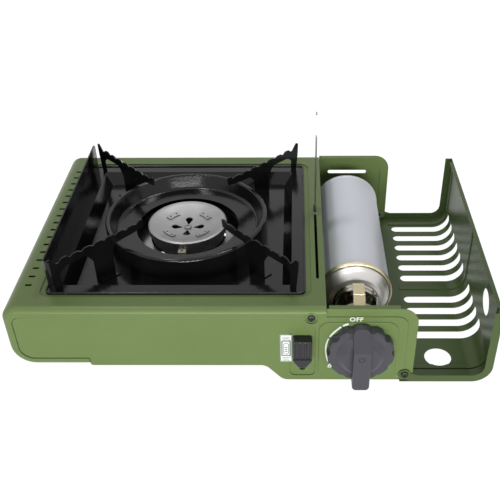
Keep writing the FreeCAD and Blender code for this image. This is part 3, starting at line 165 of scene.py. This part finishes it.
class StoveSizes(bpy.types.PropertyGroup):
    """Sizes of the printed marks and of the view."""

    letter_height: bpy.props.FloatProperty(
        name="Letter height", description="Height of the dial's letters", subtype="DISTANCE",
        default=4.2 * MM,
    )
    print_depth: bpy.props.FloatProperty(
        name="Print depth", description="How proud the printed marks stand", subtype="DISTANCE",
        default=0.06 * MM,
    )
    lens: bpy.props.FloatProperty(
        name="Lens", description="Camera focal length in millimetres", default=55.22
    )
    floor_span: bpy.props.FloatProperty(
        name="Floor span", description="Half width of the floor", subtype="DISTANCE", default=6.0
    )


class Value:
    """A shader value that takes part in plain Python sums."""

    def __init__(self, finish, socket):
        self.finish = finish
        self.socket = socket

    def maths(self, operation, *others):
        return self.finish.node("ShaderNodeMath", {"operation": operation}, [self, *others])

    def __add__(self, other):
        return self.maths("ADD", other)

    __radd__ = __add__

    def __sub__(self, other):
        return self.maths("SUBTRACT", other)

    def __rsub__(self, other):
        return self.finish.node("ShaderNodeMath", {"operation": "SUBTRACT"}, [other, self])

    def __mul__(self, other):
        return self.maths("MULTIPLY", other)

    __rmul__ = __mul__

    def __truediv__(self, other):
        return self.maths("DIVIDE", other)

    def __rtruediv__(self, other):
        return self.finish.node("ShaderNodeMath", {"operation": "DIVIDE"}, [other, self])

    def __gt__(self, other):
        return self.maths("GREATER_THAN", other)

    def __lt__(self, other):
        return self.maths("LESS_THAN", other)

    def waves(self):
        return self.maths("SINE")

    def root(self):
        return self.maths("SQRT")

    def angle_with(self, other):
        return self.maths("ARCTAN2", other)

    def part(self):
        """What is left of the value over its whole number."""
        return self.maths("FRACT")

    def held(self):
        """The value held between 0 and 1."""
        clamped = {"operation": "ADD", "use_clamp": True}
        return self.finish.node("ShaderNodeMath", clamped, [self, 0.0])


class Finish:
    """One material, built node by node."""

    def __init__(self, name):
        self.material = bpy.data.materials.new(name)
        self.material.use_nodes = True
        self.tree = self.material.node_tree
        self.tree.nodes.clear()
        self.place = Value(self, self.tree.nodes.new("ShaderNodeTexCoord").outputs["Object"])

    def node(self, kind, settings, sockets, out=0):
        """A node with its settings made first, then values or links for its sockets."""
        made = self.tree.nodes.new(kind)
        for key, setting in settings.items():
            setattr(made, key, setting)
        pairs = sockets.items() if isinstance(sockets, dict) else enumerate(sockets)
        for key, value in pairs:
            if isinstance(value, Value):
                self.tree.links.new(value.socket, made.inputs[key])
            else:
                made.inputs[key].default_value = value
        return Value(self, made.outputs[out])

    def blend(self, factor, first, second):
        """Colour mix; slots 6 and 7 of the node are its two colours and 2 its colour result."""
        def rgba(colour):
            return colour if isinstance(colour, Value) else (*colour, 1.0)

        mix = {"data_type": "RGBA"}
        return self.node("ShaderNodeMix", mix, {0: factor, 6: rgba(first), 7: rgba(second)}, 2)

    def noise(self, scale, detail=2.0, rough=0.5, where=None):
        sockets = {
            "Vector": where or self.place, "Scale": scale, "Detail": detail, "Roughness": rough,
        }
        return self.node("ShaderNodeTexNoise", {}, sockets)

    def stretched(self, x, y, z):
        return self.node("ShaderNodeVectorMath", {"operation": "MULTIPLY"}, [self.place, (x, y, z)])

    def axes(self):
        """The place's X, Y and Z as three values."""
        split = self.tree.nodes.new("ShaderNodeSeparateXYZ")
        self.tree.links.new(self.place.socket, split.inputs[0])
        return [Value(self, out) for out in split.outputs]

    def bump(self, height, depth, strength=1.0):
        sockets = {"Height": height, "Distance": depth, "Strength": strength}
        return self.node("ShaderNodeBump", {}, sockets)

    def surface(self, **sockets):
        """Ends the material in a Principled shader, sockets named with underscores for spaces."""
        named = {}
        for key, value in sockets.items():
            if isinstance(value, tuple) and len(value) == 3:
                value = (*value, 1.0)
            named[key.replace("_", " ")] = value
        shader = self.node("ShaderNodeBsdfPrincipled", {}, named)
        self.node_output(shader)
        return self.material

    def node_output(self, shader):
        output = self.tree.nodes.new("ShaderNodeOutputMaterial")
        self.tree.links.new(shader.socket, output.inputs["Surface"])


def shade(colour, factor):
    return tuple(channel * factor for channel in colour)


def paint_finish(name, colour, gloss):
    """Stoved semi-gloss paint: faint cloudiness, orange peel and a soft clear skin."""
    f = Finish(name)
    cloud = f.noise(28.0, 3.0)
    fine = f.noise(620.0, 2.0)
    base = f.blend(cloud, shade(colour, 0.93), shade(colour, 1.07))
    base = f.blend((fine - 0.62).held() * 1.6, base, shade(colour, 1.35))
    skin = f.bump(f.noise(430.0, 2.0), 0.00006, 0.35)
    rough = gloss + 0.07 * f.noise(90.0, 3.0)
    return f.surface(Base_Color=base, Roughness=rough, Normal=skin, Specular_IOR_Level=0.24)


def enamel_finish(colour):
    """Glossy black enamel with the slight waviness of fired glass."""
    f = Finish("black_enamel")
    wave = f.noise(95.0, 3.0, 0.6) + 0.25 * f.noise(600.0)
    fleck = (f.noise(1500.0, 1.0) - 0.7).held() * 2.0
    base = f.blend(fleck, colour, shade(colour, 6.0))
    rough = 0.10 + 0.10 * f.noise(60.0, 4.0)
    return f.surface(Base_Color=base, Roughness=rough, Normal=f.bump(wave, 0.0004, 0.35),
                     Specular_IOR_Level=0.32)


def sheet_metal_finish(name, colour, rough, grain=(30.0, 900.0, 900.0)):
    """Plain rolled metal: drawn grain and light stains."""
    f = Finish(name)
    drawn = f.noise(1.0, 3.0, 0.6, f.stretched(*grain))
    stain = f.noise(45.0, 4.0, 0.6)
    base = f.blend(stain, shade(colour, 0.88), shade(colour, 1.08))
    return f.surface(Base_Color=base, Metallic=1.0, Roughness=rough + 0.14 * drawn - 0.05,
                     Normal=f.bump(drawn, 0.00005, 0.3))


def burner_finish():
    """Pressed steel head: rings left by spinning, random greyer patches and a satin finish."""
    f = Finish("satin_steel")
    x, y, _ = f.axes()
    dx, dy = x - CAP_MID[0], y - CAP_MID[1]
    radius = (dx * dx + dy * dy).root()
    rings = (radius * 9000.0).waves()
    stain = f.noise(70.0, 4.0, 0.6)
    base = f.blend(stain, (0.24, 0.235, 0.235), (0.36, 0.355, 0.36))
    height = rings * 0.5 + f.noise(900.0)
    return f.surface(Base_Color=base, Metallic=0.9, Roughness=0.34 + 0.16 * stain,
                     Normal=f.bump(height, 0.00004, 0.4))


def spun_tin_finish(name, colour, rough, warm):
    """Bright tinplate spun about the cartridge's axis: fine rings and a warm cast in places."""
    f = Finish(name)
    x, _, z = f.axes()
    dx, dz = x - CAN_MID[0], z - CAN_MID[1]
    radius = (dx * dx + dz * dz).root()
    rings = (radius * 14000.0).waves()
    cloud = f.noise(55.0, 3.0, 0.55)
    base = f.blend(cloud, colour, warm)
    return f.surface(Base_Color=base, Metallic=1.0, Roughness=rough + 0.08 * cloud,
                     Normal=f.bump(rings + f.noise(300.0), 0.00002, 0.3))


def cast_finish():
    """Die-cast alloy: dull grey, pebbled skin and random darker patches."""
    f = Finish("die_cast")
    pebble = f.noise(750.0, 3.0, 0.6)
    base = f.blend(f.noise(60.0, 3.0), (0.22, 0.185, 0.16), (0.34, 0.30, 0.265))
    return f.surface(Base_Color=base, Metallic=0.85, Roughness=0.42 + 0.15 * pebble,
                     Normal=f.bump(pebble, 0.0001, 0.5))


def plastic_finish(name, colour, rough):
    """Moulded plastic with a fine spark-eroded grain."""
    f = Finish(name)
    grain = f.noise(1400.0, 2.0, 0.6)
    base = f.blend(f.noise(35.0, 3.0), shade(colour, 0.9), shade(colour, 1.12))
    return f.surface(Base_Color=base, Roughness=rough + 0.1 * f.noise(120.0, 3.0),
                     Normal=f.bump(grain, 0.00005, 0.45))


def ceramic_finish():
    """Ivory glazed ceramic with faint crazing and soot near the top."""
    f = Finish("ceramic")
    _, _, z = f.axes()
    soot = ((z - 0.070) * 120.0).held() * f.noise(350.0, 3.0)
    base = f.blend(f.noise(160.0), (0.66, 0.58, 0.42), (0.78, 0.72, 0.58))
    base = f.blend(soot, base, (0.10, 0.08, 0.06))
    return f.surface(Base_Color=base, Roughness=0.22 + 0.1 * f.noise(200.0), Coat_Weight=0.4,
                     Coat_Roughness=0.08)


def can_print_finish(colour):
    """Printed tinplate: lavender silver, pale rules, and rows of broken dashes for its print."""
    f = Finish("can_print")
    x, y, z = f.axes()
    turn = (x - CAN_MID[0]).angle_with(z - CAN_MID[1])
    arc = turn * CAN_ARC_R
    depth = (y - CAN_LOW.y) / MM
    base = f.blend(f.noise(30.0, 3.0), shade(colour, 0.92), shade(colour, 1.06))
    # Pale lengthwise rules on both sides of the middle panel
    for side in (-17.0, 15.5, -46.0, 44.0):
        line = ((arc - side) * (arc - side)) < 0.12
        base = f.blend(line * 0.55, base, (0.62, 0.64, 0.72))
    # Rows of broken dashes along the can in the middle panel
    row = arc / 4.6
    inside = (arc > -10.0) * (arc < 11.0) * (depth > 22.0) * (depth < 118.0)
    broken = f.noise(1.0, 2.0, 0.7, f.stretched(40.0, 900.0, 40.0)) > 0.44
    dash = ((row.part() - 0.5) * (row.part() - 0.5)) < 0.018
    base = f.blend(inside * dash * broken * 0.45, base, (0.10, 0.10, 0.14))
    # Finer cross rows on the two side panels
    rung = depth / 2.3
    thin = ((rung.part() - 0.5) * (rung.part() - 0.5)) < 0.03
    patchy = f.noise(1.0, 2.0, 0.7, f.stretched(700.0, 60.0, 700.0)) > 0.45
    for low, high in ((-44.0, -20.0), (19.0, 42.0)):
        panel = (arc > low) * (arc < high) * (depth > 30.0) * (depth < 142.0)
        base = f.blend(panel * thin * patchy * 0.5, base, (0.13, 0.13, 0.18))
    # Soft blocks of muted red and blue, as printed tins have
    for mid, along, wide, tall, tint in (
        (-36.0, 58.0, 3.2, 3.0, (0.42, 0.10, 0.16)), (-36.0, 100.0, 3.2, 3.4, (0.42, 0.10, 0.16)),
        (31.0, 22.0, 5.5, 7.0, (0.10, 0.12, 0.22)), (34.0, 118.0, 5.0, 4.0, (0.46, 0.16, 0.20)),
        (0.0, 132.0, 8.0, 3.0, (0.22, 0.22, 0.28)),
    ):
        u, v = (arc - mid) / wide, (depth - along) / tall
        spot = (1.0 - (u * u + v * v)).held() * (f.noise(260.0, 2.0) > 0.42)
        base = f.blend((spot * 3.0).held() * 0.6, base, tint)
    return f.surface(Base_Color=base, Metallic=0.55, Roughness=0.30 + 0.08 * f.noise(150.0),
                     Normal=f.bump(f.noise(200.0), 0.00004, 0.25), Coat_Weight=0.35,
                     Coat_Roughness=0.12)


def ink_finish(name, colour):
    """Screen-printed ink: a little uneven and matt."""
    f = Finish(name)
    base = f.blend(f.noise(900.0, 3.0), shade(colour, 0.86), shade(colour, 1.04))
    return f.surface(Base_Color=base, Roughness=0.45 + 0.1 * f.noise(600.0),
                     Normal=f.bump(f.noise(1800.0), 0.00001, 0.4))


def make_finishes(colours):
    """Every finish, by the record's slot name."""
    brass = (0.62, 0.45, 0.22)
    bright = (0.27, 0.27, 0.28)
    upright_grain = (400.0, 400.0, 60.0)
    return {
        "green_paint": paint_finish("green_paint", tuple(colours.paint), 0.30),
        # Lid and inner sheets take the same green paint, darkened as painted shade
        "green_paint_inside": paint_finish("green_paint_inside", tuple(colours.paint_darkened_for_shade), 0.30),
        "black_enamel": enamel_finish(tuple(colours.enamel)),
        "satin_steel": burner_finish(),
        "bright_steel": sheet_metal_finish("bright_steel", bright, 0.22, upright_grain),
        "zinc_steel": sheet_metal_finish("zinc_steel", (0.34, 0.345, 0.35), 0.32),
        "die_cast": cast_finish(),
        "brass_part": sheet_metal_finish("brass_part", brass, 0.24),
        "gold_tin": spun_tin_finish("gold_tin", (0.44, 0.38, 0.23), 0.20, (0.54, 0.48, 0.32)),
        "can_print": can_print_finish(tuple(colours.can)),
        "tinplate": spun_tin_finish("tinplate", (0.42, 0.41, 0.385), 0.14, (0.46, 0.42, 0.36)),
        "black_plastic": plastic_finish("black_plastic", tuple(colours.lever), 0.30),
        "grey_plastic": plastic_finish("grey_plastic", tuple(colours.knob), 0.36),
        "black_screw": sheet_metal_finish("black_screw", (0.06, 0.06, 0.06), 0.34),
        "rubber_foot": plastic_finish("rubber_foot", (0.018, 0.018, 0.018), 0.62),
        "ceramic": ceramic_finish(),
        "lead_cover": plastic_finish("lead_cover", (0.36, 0.05, 0.03), 0.40),
    }


def made_finish(slot):
    found = bpy.data.materials.get(slot)
    if found is None:
        raise RuntimeError(f"finish {slot} is not made yet")
    return found


def piece(name, verts, faces, finish, body, slot=None, smooth=False):
    """A mesh piece in the frame's metres, riding on a body."""
    mesh = bpy.data.meshes.new(name)
    mesh.from_pydata([tuple(v) for v in verts], [], faces)
    mesh.validate()
    shape = bmesh.new()
    shape.from_mesh(mesh)
    bmesh.ops.recalc_face_normals(shape, faces=shape.faces)
    shape.to_mesh(mesh)
    shape.free()
    mesh.polygons.foreach_set("use_smooth", [smooth] * len(mesh.polygons))
    obj = bpy.data.objects.new(name, mesh)
    bpy.context.scene.collection.objects.link(obj)
    obj.data.materials.append(finish)
    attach(obj, body)
    return obj


def slab(outline, y_front, y_back):
    """Closed prism of an (x, z) outline between two bench depths."""
    count = len(outline)
    verts = [bench(x, y_front, z) for x, z in outline] + [bench(x, y_back, z) for x, z in outline]
    faces = [tuple(range(count)), tuple(reversed(range(count, 2 * count)))]
    faces += [(i, (i + 1) % count, count + (i + 1) % count, count + i) for i in range(count)]
    return verts, faces


def joined(parts):
    """Several (vertices, faces) meshes as one."""
    verts, faces = [], []
    for more_verts, more_faces in parts:
        base = len(verts)
        verts += more_verts
        faces += [tuple(base + i for i in face) for face in more_faces]
    return verts, faces


def turned_piece(name, profile, finish, body, steps=TURNED_STEPS, slot=None):
    """Smooth lathed piece about the cartridge's axis from closed (radius, bench y) points."""
    verts, faces = [], []
    count = len(profile)
    for i in range(steps):
        angle = 2 * math.pi * i / steps
        for radius, y in profile:
            point = bench(0, y, 0)
            x = CAN_MID[0] + radius * MM * math.sin(angle)
            z = CAN_MID[1] + radius * MM * math.cos(angle)
            verts.append((x, point.y, z))
    for i in range(steps):
        j = (i + 1) % steps
        for k in range(count):
            m = (k + 1) % count
            faces.append((i * count + k, i * count + m, j * count + m, j * count + k))
    made = piece(name, verts, faces, finish, body, slot, True)
    made.data.set_sharp_from_angle(angle=math.radians(TURNED_SHARP))
    return made


class STOVE_OT_finishes(bpy.types.Operator):
    """Make the finishes and put them on every node of the frame"""

    bl_idname = "stove.finishes"
    bl_label = "Finishes"

    def execute(self, context):
        finishes = make_finishes(context.scene.stove_colours)
        for row in frame["record"]["subparts"]:
            node = frame["nodes"][row["node"]]
            node.data.materials.clear()
            node.data.materials.append(finishes[row["material_slot"]])
        return {"FINISHED"}


class STOVE_OT_dial_print(bpy.types.Operator):
    """Print the OFF mark, the tapered arc and the small flame beside the knob"""

    bl_idname = "stove.dial_print"
    bl_label = "Dial print"

    def execute(self, context):
        sizes = context.scene.stove_sizes
        white = ink_finish("dial_ink", tuple(context.scene.stove_colours.print_white))
        proud = DIAL_FACE - sizes.print_depth / MM
        self.print_off(context, sizes, white)
        self.print_arc(proud, white)
        x0, z0 = FLAME_AT
        outline = [(x0 + u, z0 + v) for u, v in FLAME_OUTLINE]
        inner = [(x0 + u * 0.5, z0 - 0.5 + v * 0.45) for u, v in FLAME_OUTLINE]
        verts, faces = ring_slab(outline, inner, DIAL_FACE, proud)
        piece("flame_mark", verts, faces, white, "root")
        return {"FINISHED"}

    def print_off(self, context, sizes, white):
        """The letters, turned from a text curve into a thin raised mesh."""
        curve = bpy.data.curves.new("off_text", "FONT")
        curve.body = "OFF"
        curve.size = sizes.letter_height / CAPITAL_SHARE
        curve.align_x = "CENTER"
        curve.space_character = 1.12
        curve.offset = 0.00012
        curve.extrude = sizes.print_depth / 2
        writing = bpy.data.objects.new("off_text", curve)
        bpy.context.scene.collection.objects.link(writing)
        context.view_layer.update()
        shown = writing.evaluated_get(context.evaluated_depsgraph_get())
        flat = bpy.data.meshes.new_from_object(shown)
        bpy.data.objects.remove(writing)
        base = bench(OFF_AT[0], -sizes.print_depth / MM / 2, OFF_AT[1])
        verts = [base + Vector((v.co.x, -v.co.z, v.co.y)) for v in flat.vertices]
        piece("off_mark", verts, [tuple(p.vertices) for p in flat.polygons], white, "root")

    def print_arc(self, proud, white):
        """Arc from the OFF mark round the knob's left, wide at first and thin at the flame."""
        line = smooth_line(DIAL_ARC, ARC_STEPS)
        strips = []
        run = []
        for i, (x, z) in enumerate(line):
            share = i / (len(line) - 1)
            if any(low < share < high for low, high in ARC_GAPS):
                if len(run) > 1:
                    strips.append(band(run, DIAL_FACE, proud))
                run = []
                continue
            run.append((x, z, ARC_WIDE - ARC_TAPER * share))
        strips.append(band(run, DIAL_FACE, proud))
        verts, faces = joined(strips)
        piece("dial_arc", verts, faces, white, "root")


def smooth_line(points, steps):
    """Points along a Catmull-Rom line through (x, z) points."""
    ends = [points[0], *points, points[-1]]
    line = []
    for i in range(1, len(ends) - 2):
        p = [Vector(q) for q in ends[i - 1:i + 3]]
        for k in range(steps):
            t = k / steps
            bend = 2 * p[0] - 5 * p[1] + 4 * p[2] - p[3]
            twist = 3 * p[1] - p[0] - 3 * p[2] + p[3]
            at = 0.5 * (2 * p[1] + (p[2] - p[0]) * t + bend * t * t + twist * t ** 3)
            line.append((at.x, at.y))
    line.append(tuple(points[-1]))
    return line


def band(run, face, proud):
    """Thin raised band along (x, z, width) points."""
    left, right = [], []
    for i, (x, z, width) in enumerate(run):
        a, b = run[max(i - 1, 0)], run[min(i + 1, len(run) - 1)]
        way = Vector((b[0] - a[0], b[1] - a[1])).normalized()
        left.append((x - way.y * width / 2, z + way.x * width / 2))
        right.append((x + way.y * width / 2, z - way.x * width / 2))
    return strip_slab(left, right, face, proud)


def strip_slab(left, right, face, proud):
    """Thin raised strip between two lines of equal count."""
    count = len(left)
    verts = []
    for line in (left, right):
        verts += [bench(x, proud, z) for x, z in line]
    for line in (left, right):
        verts += [bench(x, face, z) for x, z in line]
    faces = []
    for i in range(count - 1):
        faces.append((i, i + 1, count + i + 1, count + i))
        faces.append((2 * count + i, 3 * count + i, 3 * count + i + 1, 2 * count + i + 1))
        faces.append((i, 2 * count + i, 2 * count + i + 1, i + 1))
        faces.append((count + i, count + i + 1, 3 * count + i + 1, 3 * count + i))
    faces.append((0, count, 3 * count, 2 * count))
    last = count - 1
    faces.append((last, 2 * count + last, 3 * count + last, count + last))
    return verts, faces


def ring_slab(outer, inner, face, proud):
    """Thin raised ring between two closed outlines of equal count."""
    count = len(outer)
    verts = []
    for y in (proud, face):
        for line in (outer, inner):
            verts += [bench(x, y, z) for x, z in line]
    faces = []
    for i in range(count):
        j = (i + 1) % count
        faces.append((i, j, count + j, count + i))
        faces.append((2 * count + i, 3 * count + i, 3 * count + j, 2 * count + j))
        faces.append((i, 2 * count + i, 2 * count + j, j))
        faces.append((count + i, count + j, 3 * count + j, 3 * count + i))
    return verts, faces


def rounded(x0, x1, z0, z1, radius, steps=4):
    """Rounded rectangle as (x, z) points."""
    points = []
    for cx, cz, start in ((x1 - radius, z1 - radius, 0), (x0 + radius, z1 - radius, 90),
                          (x0 + radius, z0 + radius, 180), (x1 - radius, z0 + radius, 270)):
        for k in range(steps + 1):
            angle = math.radians(start + 90 * k / steps)
            points.append((cx + radius * math.cos(angle), cz + radius * math.sin(angle)))
    return points


class STOVE_OT_lever_label(bpy.types.Operator):
    """Stick the small plain label with its cartridge picture beside the lever"""

    bl_idname = "stove.lever_label"
    bl_label = "Lever label"

    def execute(self, context):
        x0, x1, z0, z1 = LABEL_BOX
        white = ink_finish("label_paper", tuple(context.scene.stove_colours.print_white))
        grey = ink_finish("label_ink", (0.20, 0.25, 0.22))
        outline = rounded(x0, x1, z0, z1, 0.8)
        piece("lever_label", *slab(outline, LABEL_SKIN, 0.0), white, "root")
        mid = (x0 + x1) / 2
        # Border, frame round the picture, and the outline of a lying cartridge
        rings = (
            (rounded(x0 + 0.1, x1 - 0.1, z0 + 0.1, z1 - 0.1, 0.8),
             rounded(x0 + 0.7, x1 - 0.7, z0 + 0.7, z1 - 0.7, 0.5)),
            (rounded(x0 + 1.0, x1 - 1.0, z0 + 6.6, z1 - 6.6, 1.0),
             rounded(x0 + 2.2, x1 - 2.2, z0 + 7.8, z1 - 7.8, 0.7)),
            (rounded(mid - 2.4, mid + 2.4, z0 + 8.6, z1 - 9.2, 2.2),
             rounded(mid - 1.8, mid + 1.8, z0 + 9.2, z1 - 9.8, 1.7)),
        )
        marks = [ring_slab(outer, inner, LABEL_SKIN, LABEL_INK) for outer, inner in rings]
        # Three blocks on the cartridge, then plain rows below and above the picture
        for i in range(3):
            z = z0 + 11.4 + 2.3 * i
            block = rounded(mid - 1.1, mid + 1.1, z, z + 1.1, 0.3)
            marks.append(slab(block, LABEL_INK, LABEL_SKIN))
        for low in (z0 + 1.3, z1 - 6.2):
            for i in range(3):
                z = low + 1.6 * i
                row = rounded(x0 + 1.8, x1 - 1.8 - 1.1 * (i % 2), z, z + 0.55, 0.2)
                marks.append(slab(row, LABEL_INK, LABEL_SKIN))
        piece("label_marks", *joined(marks), grey, "root")
        return {"FINISHED"}


class STOVE_OT_cartridge(bpy.types.Operator):
    """Dress the cartridge in smooth spun sheet with its rolled seams and domed shoulder"""

    bl_idname = "stove.cartridge"
    bl_label = "Cartridge"

    def execute(self, context):
        low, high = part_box("cartridge_can")
        y0, y1 = low.y / MM - FRONT_Y, high.y / MM - FRONT_Y
        y0 -= SEAM_REACH
        made = self.spun("can_side", self.side_profile(y0, y1), "can_print")
        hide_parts("cartridge_can")
        made = self.spun("can_rolled_seam", self.seam_profile(y0), "gold_tin")
        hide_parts("cartridge_seam")
        made = self.spun("can_shoulder", self.shoulder_profile(y0), "tinplate")
        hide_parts("cartridge_dome")
        return {"FINISHED"}

    def spun(self, name, profile, slot):
        """One turned piece in its finish, riding on the cartridge."""
        return turned_piece(name, profile, made_finish(slot), "cartridge", slot=slot)

    def side_profile(self, y0, y1):
        """Side wall, rolled rear rim and sunken rear end, with their inner faces."""
        r = CAN_R
        side = [(r - 0.6, y0 + 3.5), (r - 0.6, y1 - 4.6), (r - 0.5, y1 - 4.0), (r - 0.1, y1 - 3.2)]
        back = [
            (r, y1 - 2.4), (r, y1 - 0.9), (r - 0.3, y1 - 0.2), (r - 1.0, y1), (r - 1.7, y1 - 0.5),
            (r - 2.4, y1 - 2.4), (r - 5.0, y1 - 4.2), (r - 12.0, y1 - 5.0), (0.3, y1 - 5.8),
        ]
        inner = [
            (0.3, y1 - 6.6), (r - 12.0, y1 - 5.8), (r - 5.2, y1 - 5.0), (r - 1.2, y1 - 5.0),
            (r - 1.1, y0 + 3.5),
        ]
        return side + back + inner

    def seam_profile(self, y0):
        """Double-rolled front seam."""
        r = CAN_R
        return [
            (r - 0.6, y0 + 3.6), (r + 0.15, y0 + 3.35), (r + 0.7, y0 + 2.9), (r + 0.85, y0 + 2.4),
            (r + 0.6, y0 + 1.95), (r + 0.75, y0 + 1.5), (r + 1.0, y0 + 1.0), (r + 0.8, y0 + 0.3),
            (r + 0.2, y0 - 0.4), (r - 0.6, y0 - 0.7), (r - 1.3, y0 - 0.2), (r - 1.6, y0 + 0.6),
            (r - 1.6, y0 + 3.6),
        ]

    def shoulder_profile(self, y0):
        """Domed shoulder with two shallow creases, outside then inside."""
        dome, back = [], []
        reach = CAN_R - 1.75 - SHOULDER_END_R
        for i in range(SHOULDER_STEPS + 1):
            angle = math.pi / 2 * i / SHOULDER_STEPS
            radius = SHOULDER_END_R + reach * math.cos(angle)
            y = y0 + 1 - SHOULDER_LONG * math.sin(angle) ** SHOULDER_POWER
            share = i / SHOULDER_STEPS
            crease = 0.28 * math.exp(-((share - 0.30) / 0.035) ** 2)
            crease += 0.22 * math.exp(-((share - 0.86) / 0.03) ** 2)
            dome.append((radius - crease, y + crease))
            inner_radius = radius - SHOULDER_SHEET * math.cos(angle) - 0.05
            back.append((inner_radius, y + SHOULDER_SHEET * math.sin(angle) + 0.15))
        return dome + back[::-1]


class STOVE_OT_knob_dimple(bpy.types.Operator):
    """Raise the thin ring of the round dimple on the front of the knob's grip"""

    bl_idname = "stove.knob_dimple"
    bl_label = "Knob dimple"

    def execute(self, context):
        x, z = DIMPLE_AT
        face = KNOB_LOW.y / MM - FRONT_Y
        steps, rows = DIMPLE_STEPS, DIMPLE_SECTION
        verts, faces = [], []
        for i in range(steps):
            angle = 2 * math.pi * i / steps
            for radius, out in rows:
                across, up = radius * math.cos(angle), radius * math.sin(angle)
                verts.append(bench(x + across, face + out + DIMPLE_SINK, z + up))
        count = len(rows)
        for i in range(steps):
            j = (i + 1) % steps
            for k in range(count):
                m = (k + 1) % count
                faces.append((i * count + k, j * count + k, j * count + m, i * count + m))
        piece("knob_ring", verts, faces, made_finish("grey_plastic"), "knob", "grey_plastic", True)
        return {"FINISHED"}


def area_lamp(name, place, aim, size, power):
    """Rectangular lamp at a place, turned towards its aim."""
    lamp = bpy.data.lights.new(name, "AREA")
    lamp.shape = "RECTANGLE"
    lamp.size, lamp.size_y = size
    lamp.energy = power
    obj = bpy.data.objects.new(name, lamp)
    obj.location = place
    obj.rotation_euler = (Vector(aim) - Vector(place)).to_track_quat("-Z", "Y").to_euler()
    bpy.context.scene.collection.objects.link(obj)


class STOVE_OT_stage(bpy.types.Operator):
    """Lay the pale floor, hang the studio lamps and set up the camera"""

    bl_idname = "stove.stage"
    bl_label = "Stage"

    def execute(self, context):
        scene = context.scene
        span = scene.stove_sizes.floor_span
        f = Finish("floor_card")
        rays = f.tree.nodes.new("ShaderNodeLightPath")
        seen = Value(f, rays.outputs["Is Camera Ray"])
        mirror = Value(f, rays.outputs["Is Glossy Ray"])
        through = Value(f, rays.outputs["Is Transmission Ray"])
        matt = f.node("ShaderNodeBsdfDiffuse", {}, {"Color": FLOOR_MATT})
        glow = f.node("ShaderNodeEmission", {}, {"Color": WHITE, "Strength": FLOOR_GLOW})
        share = (seen + mirror + through).held() * FLOOR_SHARE
        mixed = f.tree.nodes.new("ShaderNodeMixShader")
        for index, value in enumerate((share, matt, glow)):
            f.tree.links.new(value.socket, mixed.inputs[index])
        f.node_output(Value(f, mixed.outputs[0]))
        mesh = bpy.data.meshes.new("floor")
        sides = ((-span, -span), (span, -span), (span, span), (-span, span))
        corners = [(x, y, -FLOOR_DROP) for x, y in sides]
        mesh.from_pydata(corners, [], [(0, 1, 2, 3)])
        floor = bpy.data.objects.new("floor", mesh)
        floor.data.materials.append(f.material)
        scene.collection.objects.link(floor)
        self.hang_lamps(scene)
        self.aim_camera(scene)
        scene.view_settings.view_transform = "Standard"
        return {"FINISHED"}

    def hang_lamps(self, scene):
        """World, white to the camera and in mirrors and dim on matt faces, then the lamps."""
        world = bpy.data.worlds.new("studio")
        world.use_nodes = True
        scene.world = world
        tree = world.node_tree
        tree.nodes.clear()
        rays = tree.nodes.new("ShaderNodeLightPath")
        total = None
        for name in ("Is Camera Ray", "Is Glossy Ray", "Is Transmission Ray"):
            add = tree.nodes.new("ShaderNodeMath")
            add.operation = "ADD"
            add.use_clamp = True
            tree.links.new(rays.outputs[name], add.inputs[0])
            if total is None:
                add.inputs[1].default_value = 0.0
            else:
                tree.links.new(total, add.inputs[1])
            total = add.outputs[0]
        dim, white = (tree.nodes.new("ShaderNodeBackground") for _ in range(2))
        dim.inputs["Color"].default_value = SKY_COLOUR
        dim.inputs["Strength"].default_value = SKY_STRENGTH
        white.inputs["Color"].default_value = WHITE
        white.inputs["Strength"].default_value = 1.0
        mix = tree.nodes.new("ShaderNodeMixShader")
        for index, socket in enumerate((total, dim.outputs[0], white.outputs[0])):
            tree.links.new(socket, mix.inputs[index])
        output = tree.nodes.new("ShaderNodeOutputWorld")
        tree.links.new(mix.outputs[0], output.inputs["Surface"])
        for lamp in LAMPS:
            area_lamp(*lamp)

    def aim_camera(self, scene):
        """Camera fitted to the photographed view."""
        lens = bpy.data.cameras.new("view")
        lens.lens = scene.stove_sizes.lens
        lens.sensor_width = SENSOR_WIDTH
        lens.shift_x, lens.shift_y = CAMERA_SHIFT
        camera = bpy.data.objects.new("view", lens)
        camera.location = CAMERA_PLACE
        turned = Matrix.Identity(3)
        for degrees, axis in CAMERA_TURNS:
            turned = turned @ Matrix.Rotation(math.radians(degrees), 3, axis)
        camera.rotation_euler = turned.to_euler()
        scene.collection.objects.link(camera)
        scene.camera = camera


class STOVE_PT_panel(bpy.types.Panel):
    """Buttons and settings of the stove dressing"""

    bl_idname = "STOVE_PT_panel"
    bl_label = "Stove"
    bl_space_type = "VIEW_3D"
    bl_region_type = "UI"
    bl_category = "Stove"

    def draw(self, context):
        for step in STEPS:
            self.layout.operator(step.bl_idname)
        for group in (context.scene.stove_colours, context.scene.stove_sizes):
            for key in group.__annotations__:
                self.layout.prop(group, key)


STEPS = (
    STOVE_OT_stage, STOVE_OT_finishes, STOVE_OT_dial_print, STOVE_OT_lever_label,
    STOVE_OT_cartridge, STOVE_OT_knob_dimple,
)
CLASSES = (StoveColours, StoveSizes, *STEPS, STOVE_PT_panel)


def register():
    for cls in CLASSES:
        bpy.utils.register_class(cls)
    bpy.types.Scene.stove_colours = bpy.props.PointerProperty(type=StoveColours)
    bpy.types.Scene.stove_sizes = bpy.props.PointerProperty(type=StoveSizes)


def unregister():
    del bpy.types.Scene.stove_colours
    del bpy.types.Scene.stove_sizes
    for cls in reversed(CLASSES):
        bpy.utils.unregister_class(cls)


def main():
    register()
    bpy.ops.stove.stage()
    bpy.ops.stove.finishes()
    bpy.ops.stove.dial_print()
    bpy.ops.stove.lever_label()
    bpy.ops.stove.cartridge()
    bpy.ops.stove.knob_dimple()


if __name__ == "__main__":
    main()
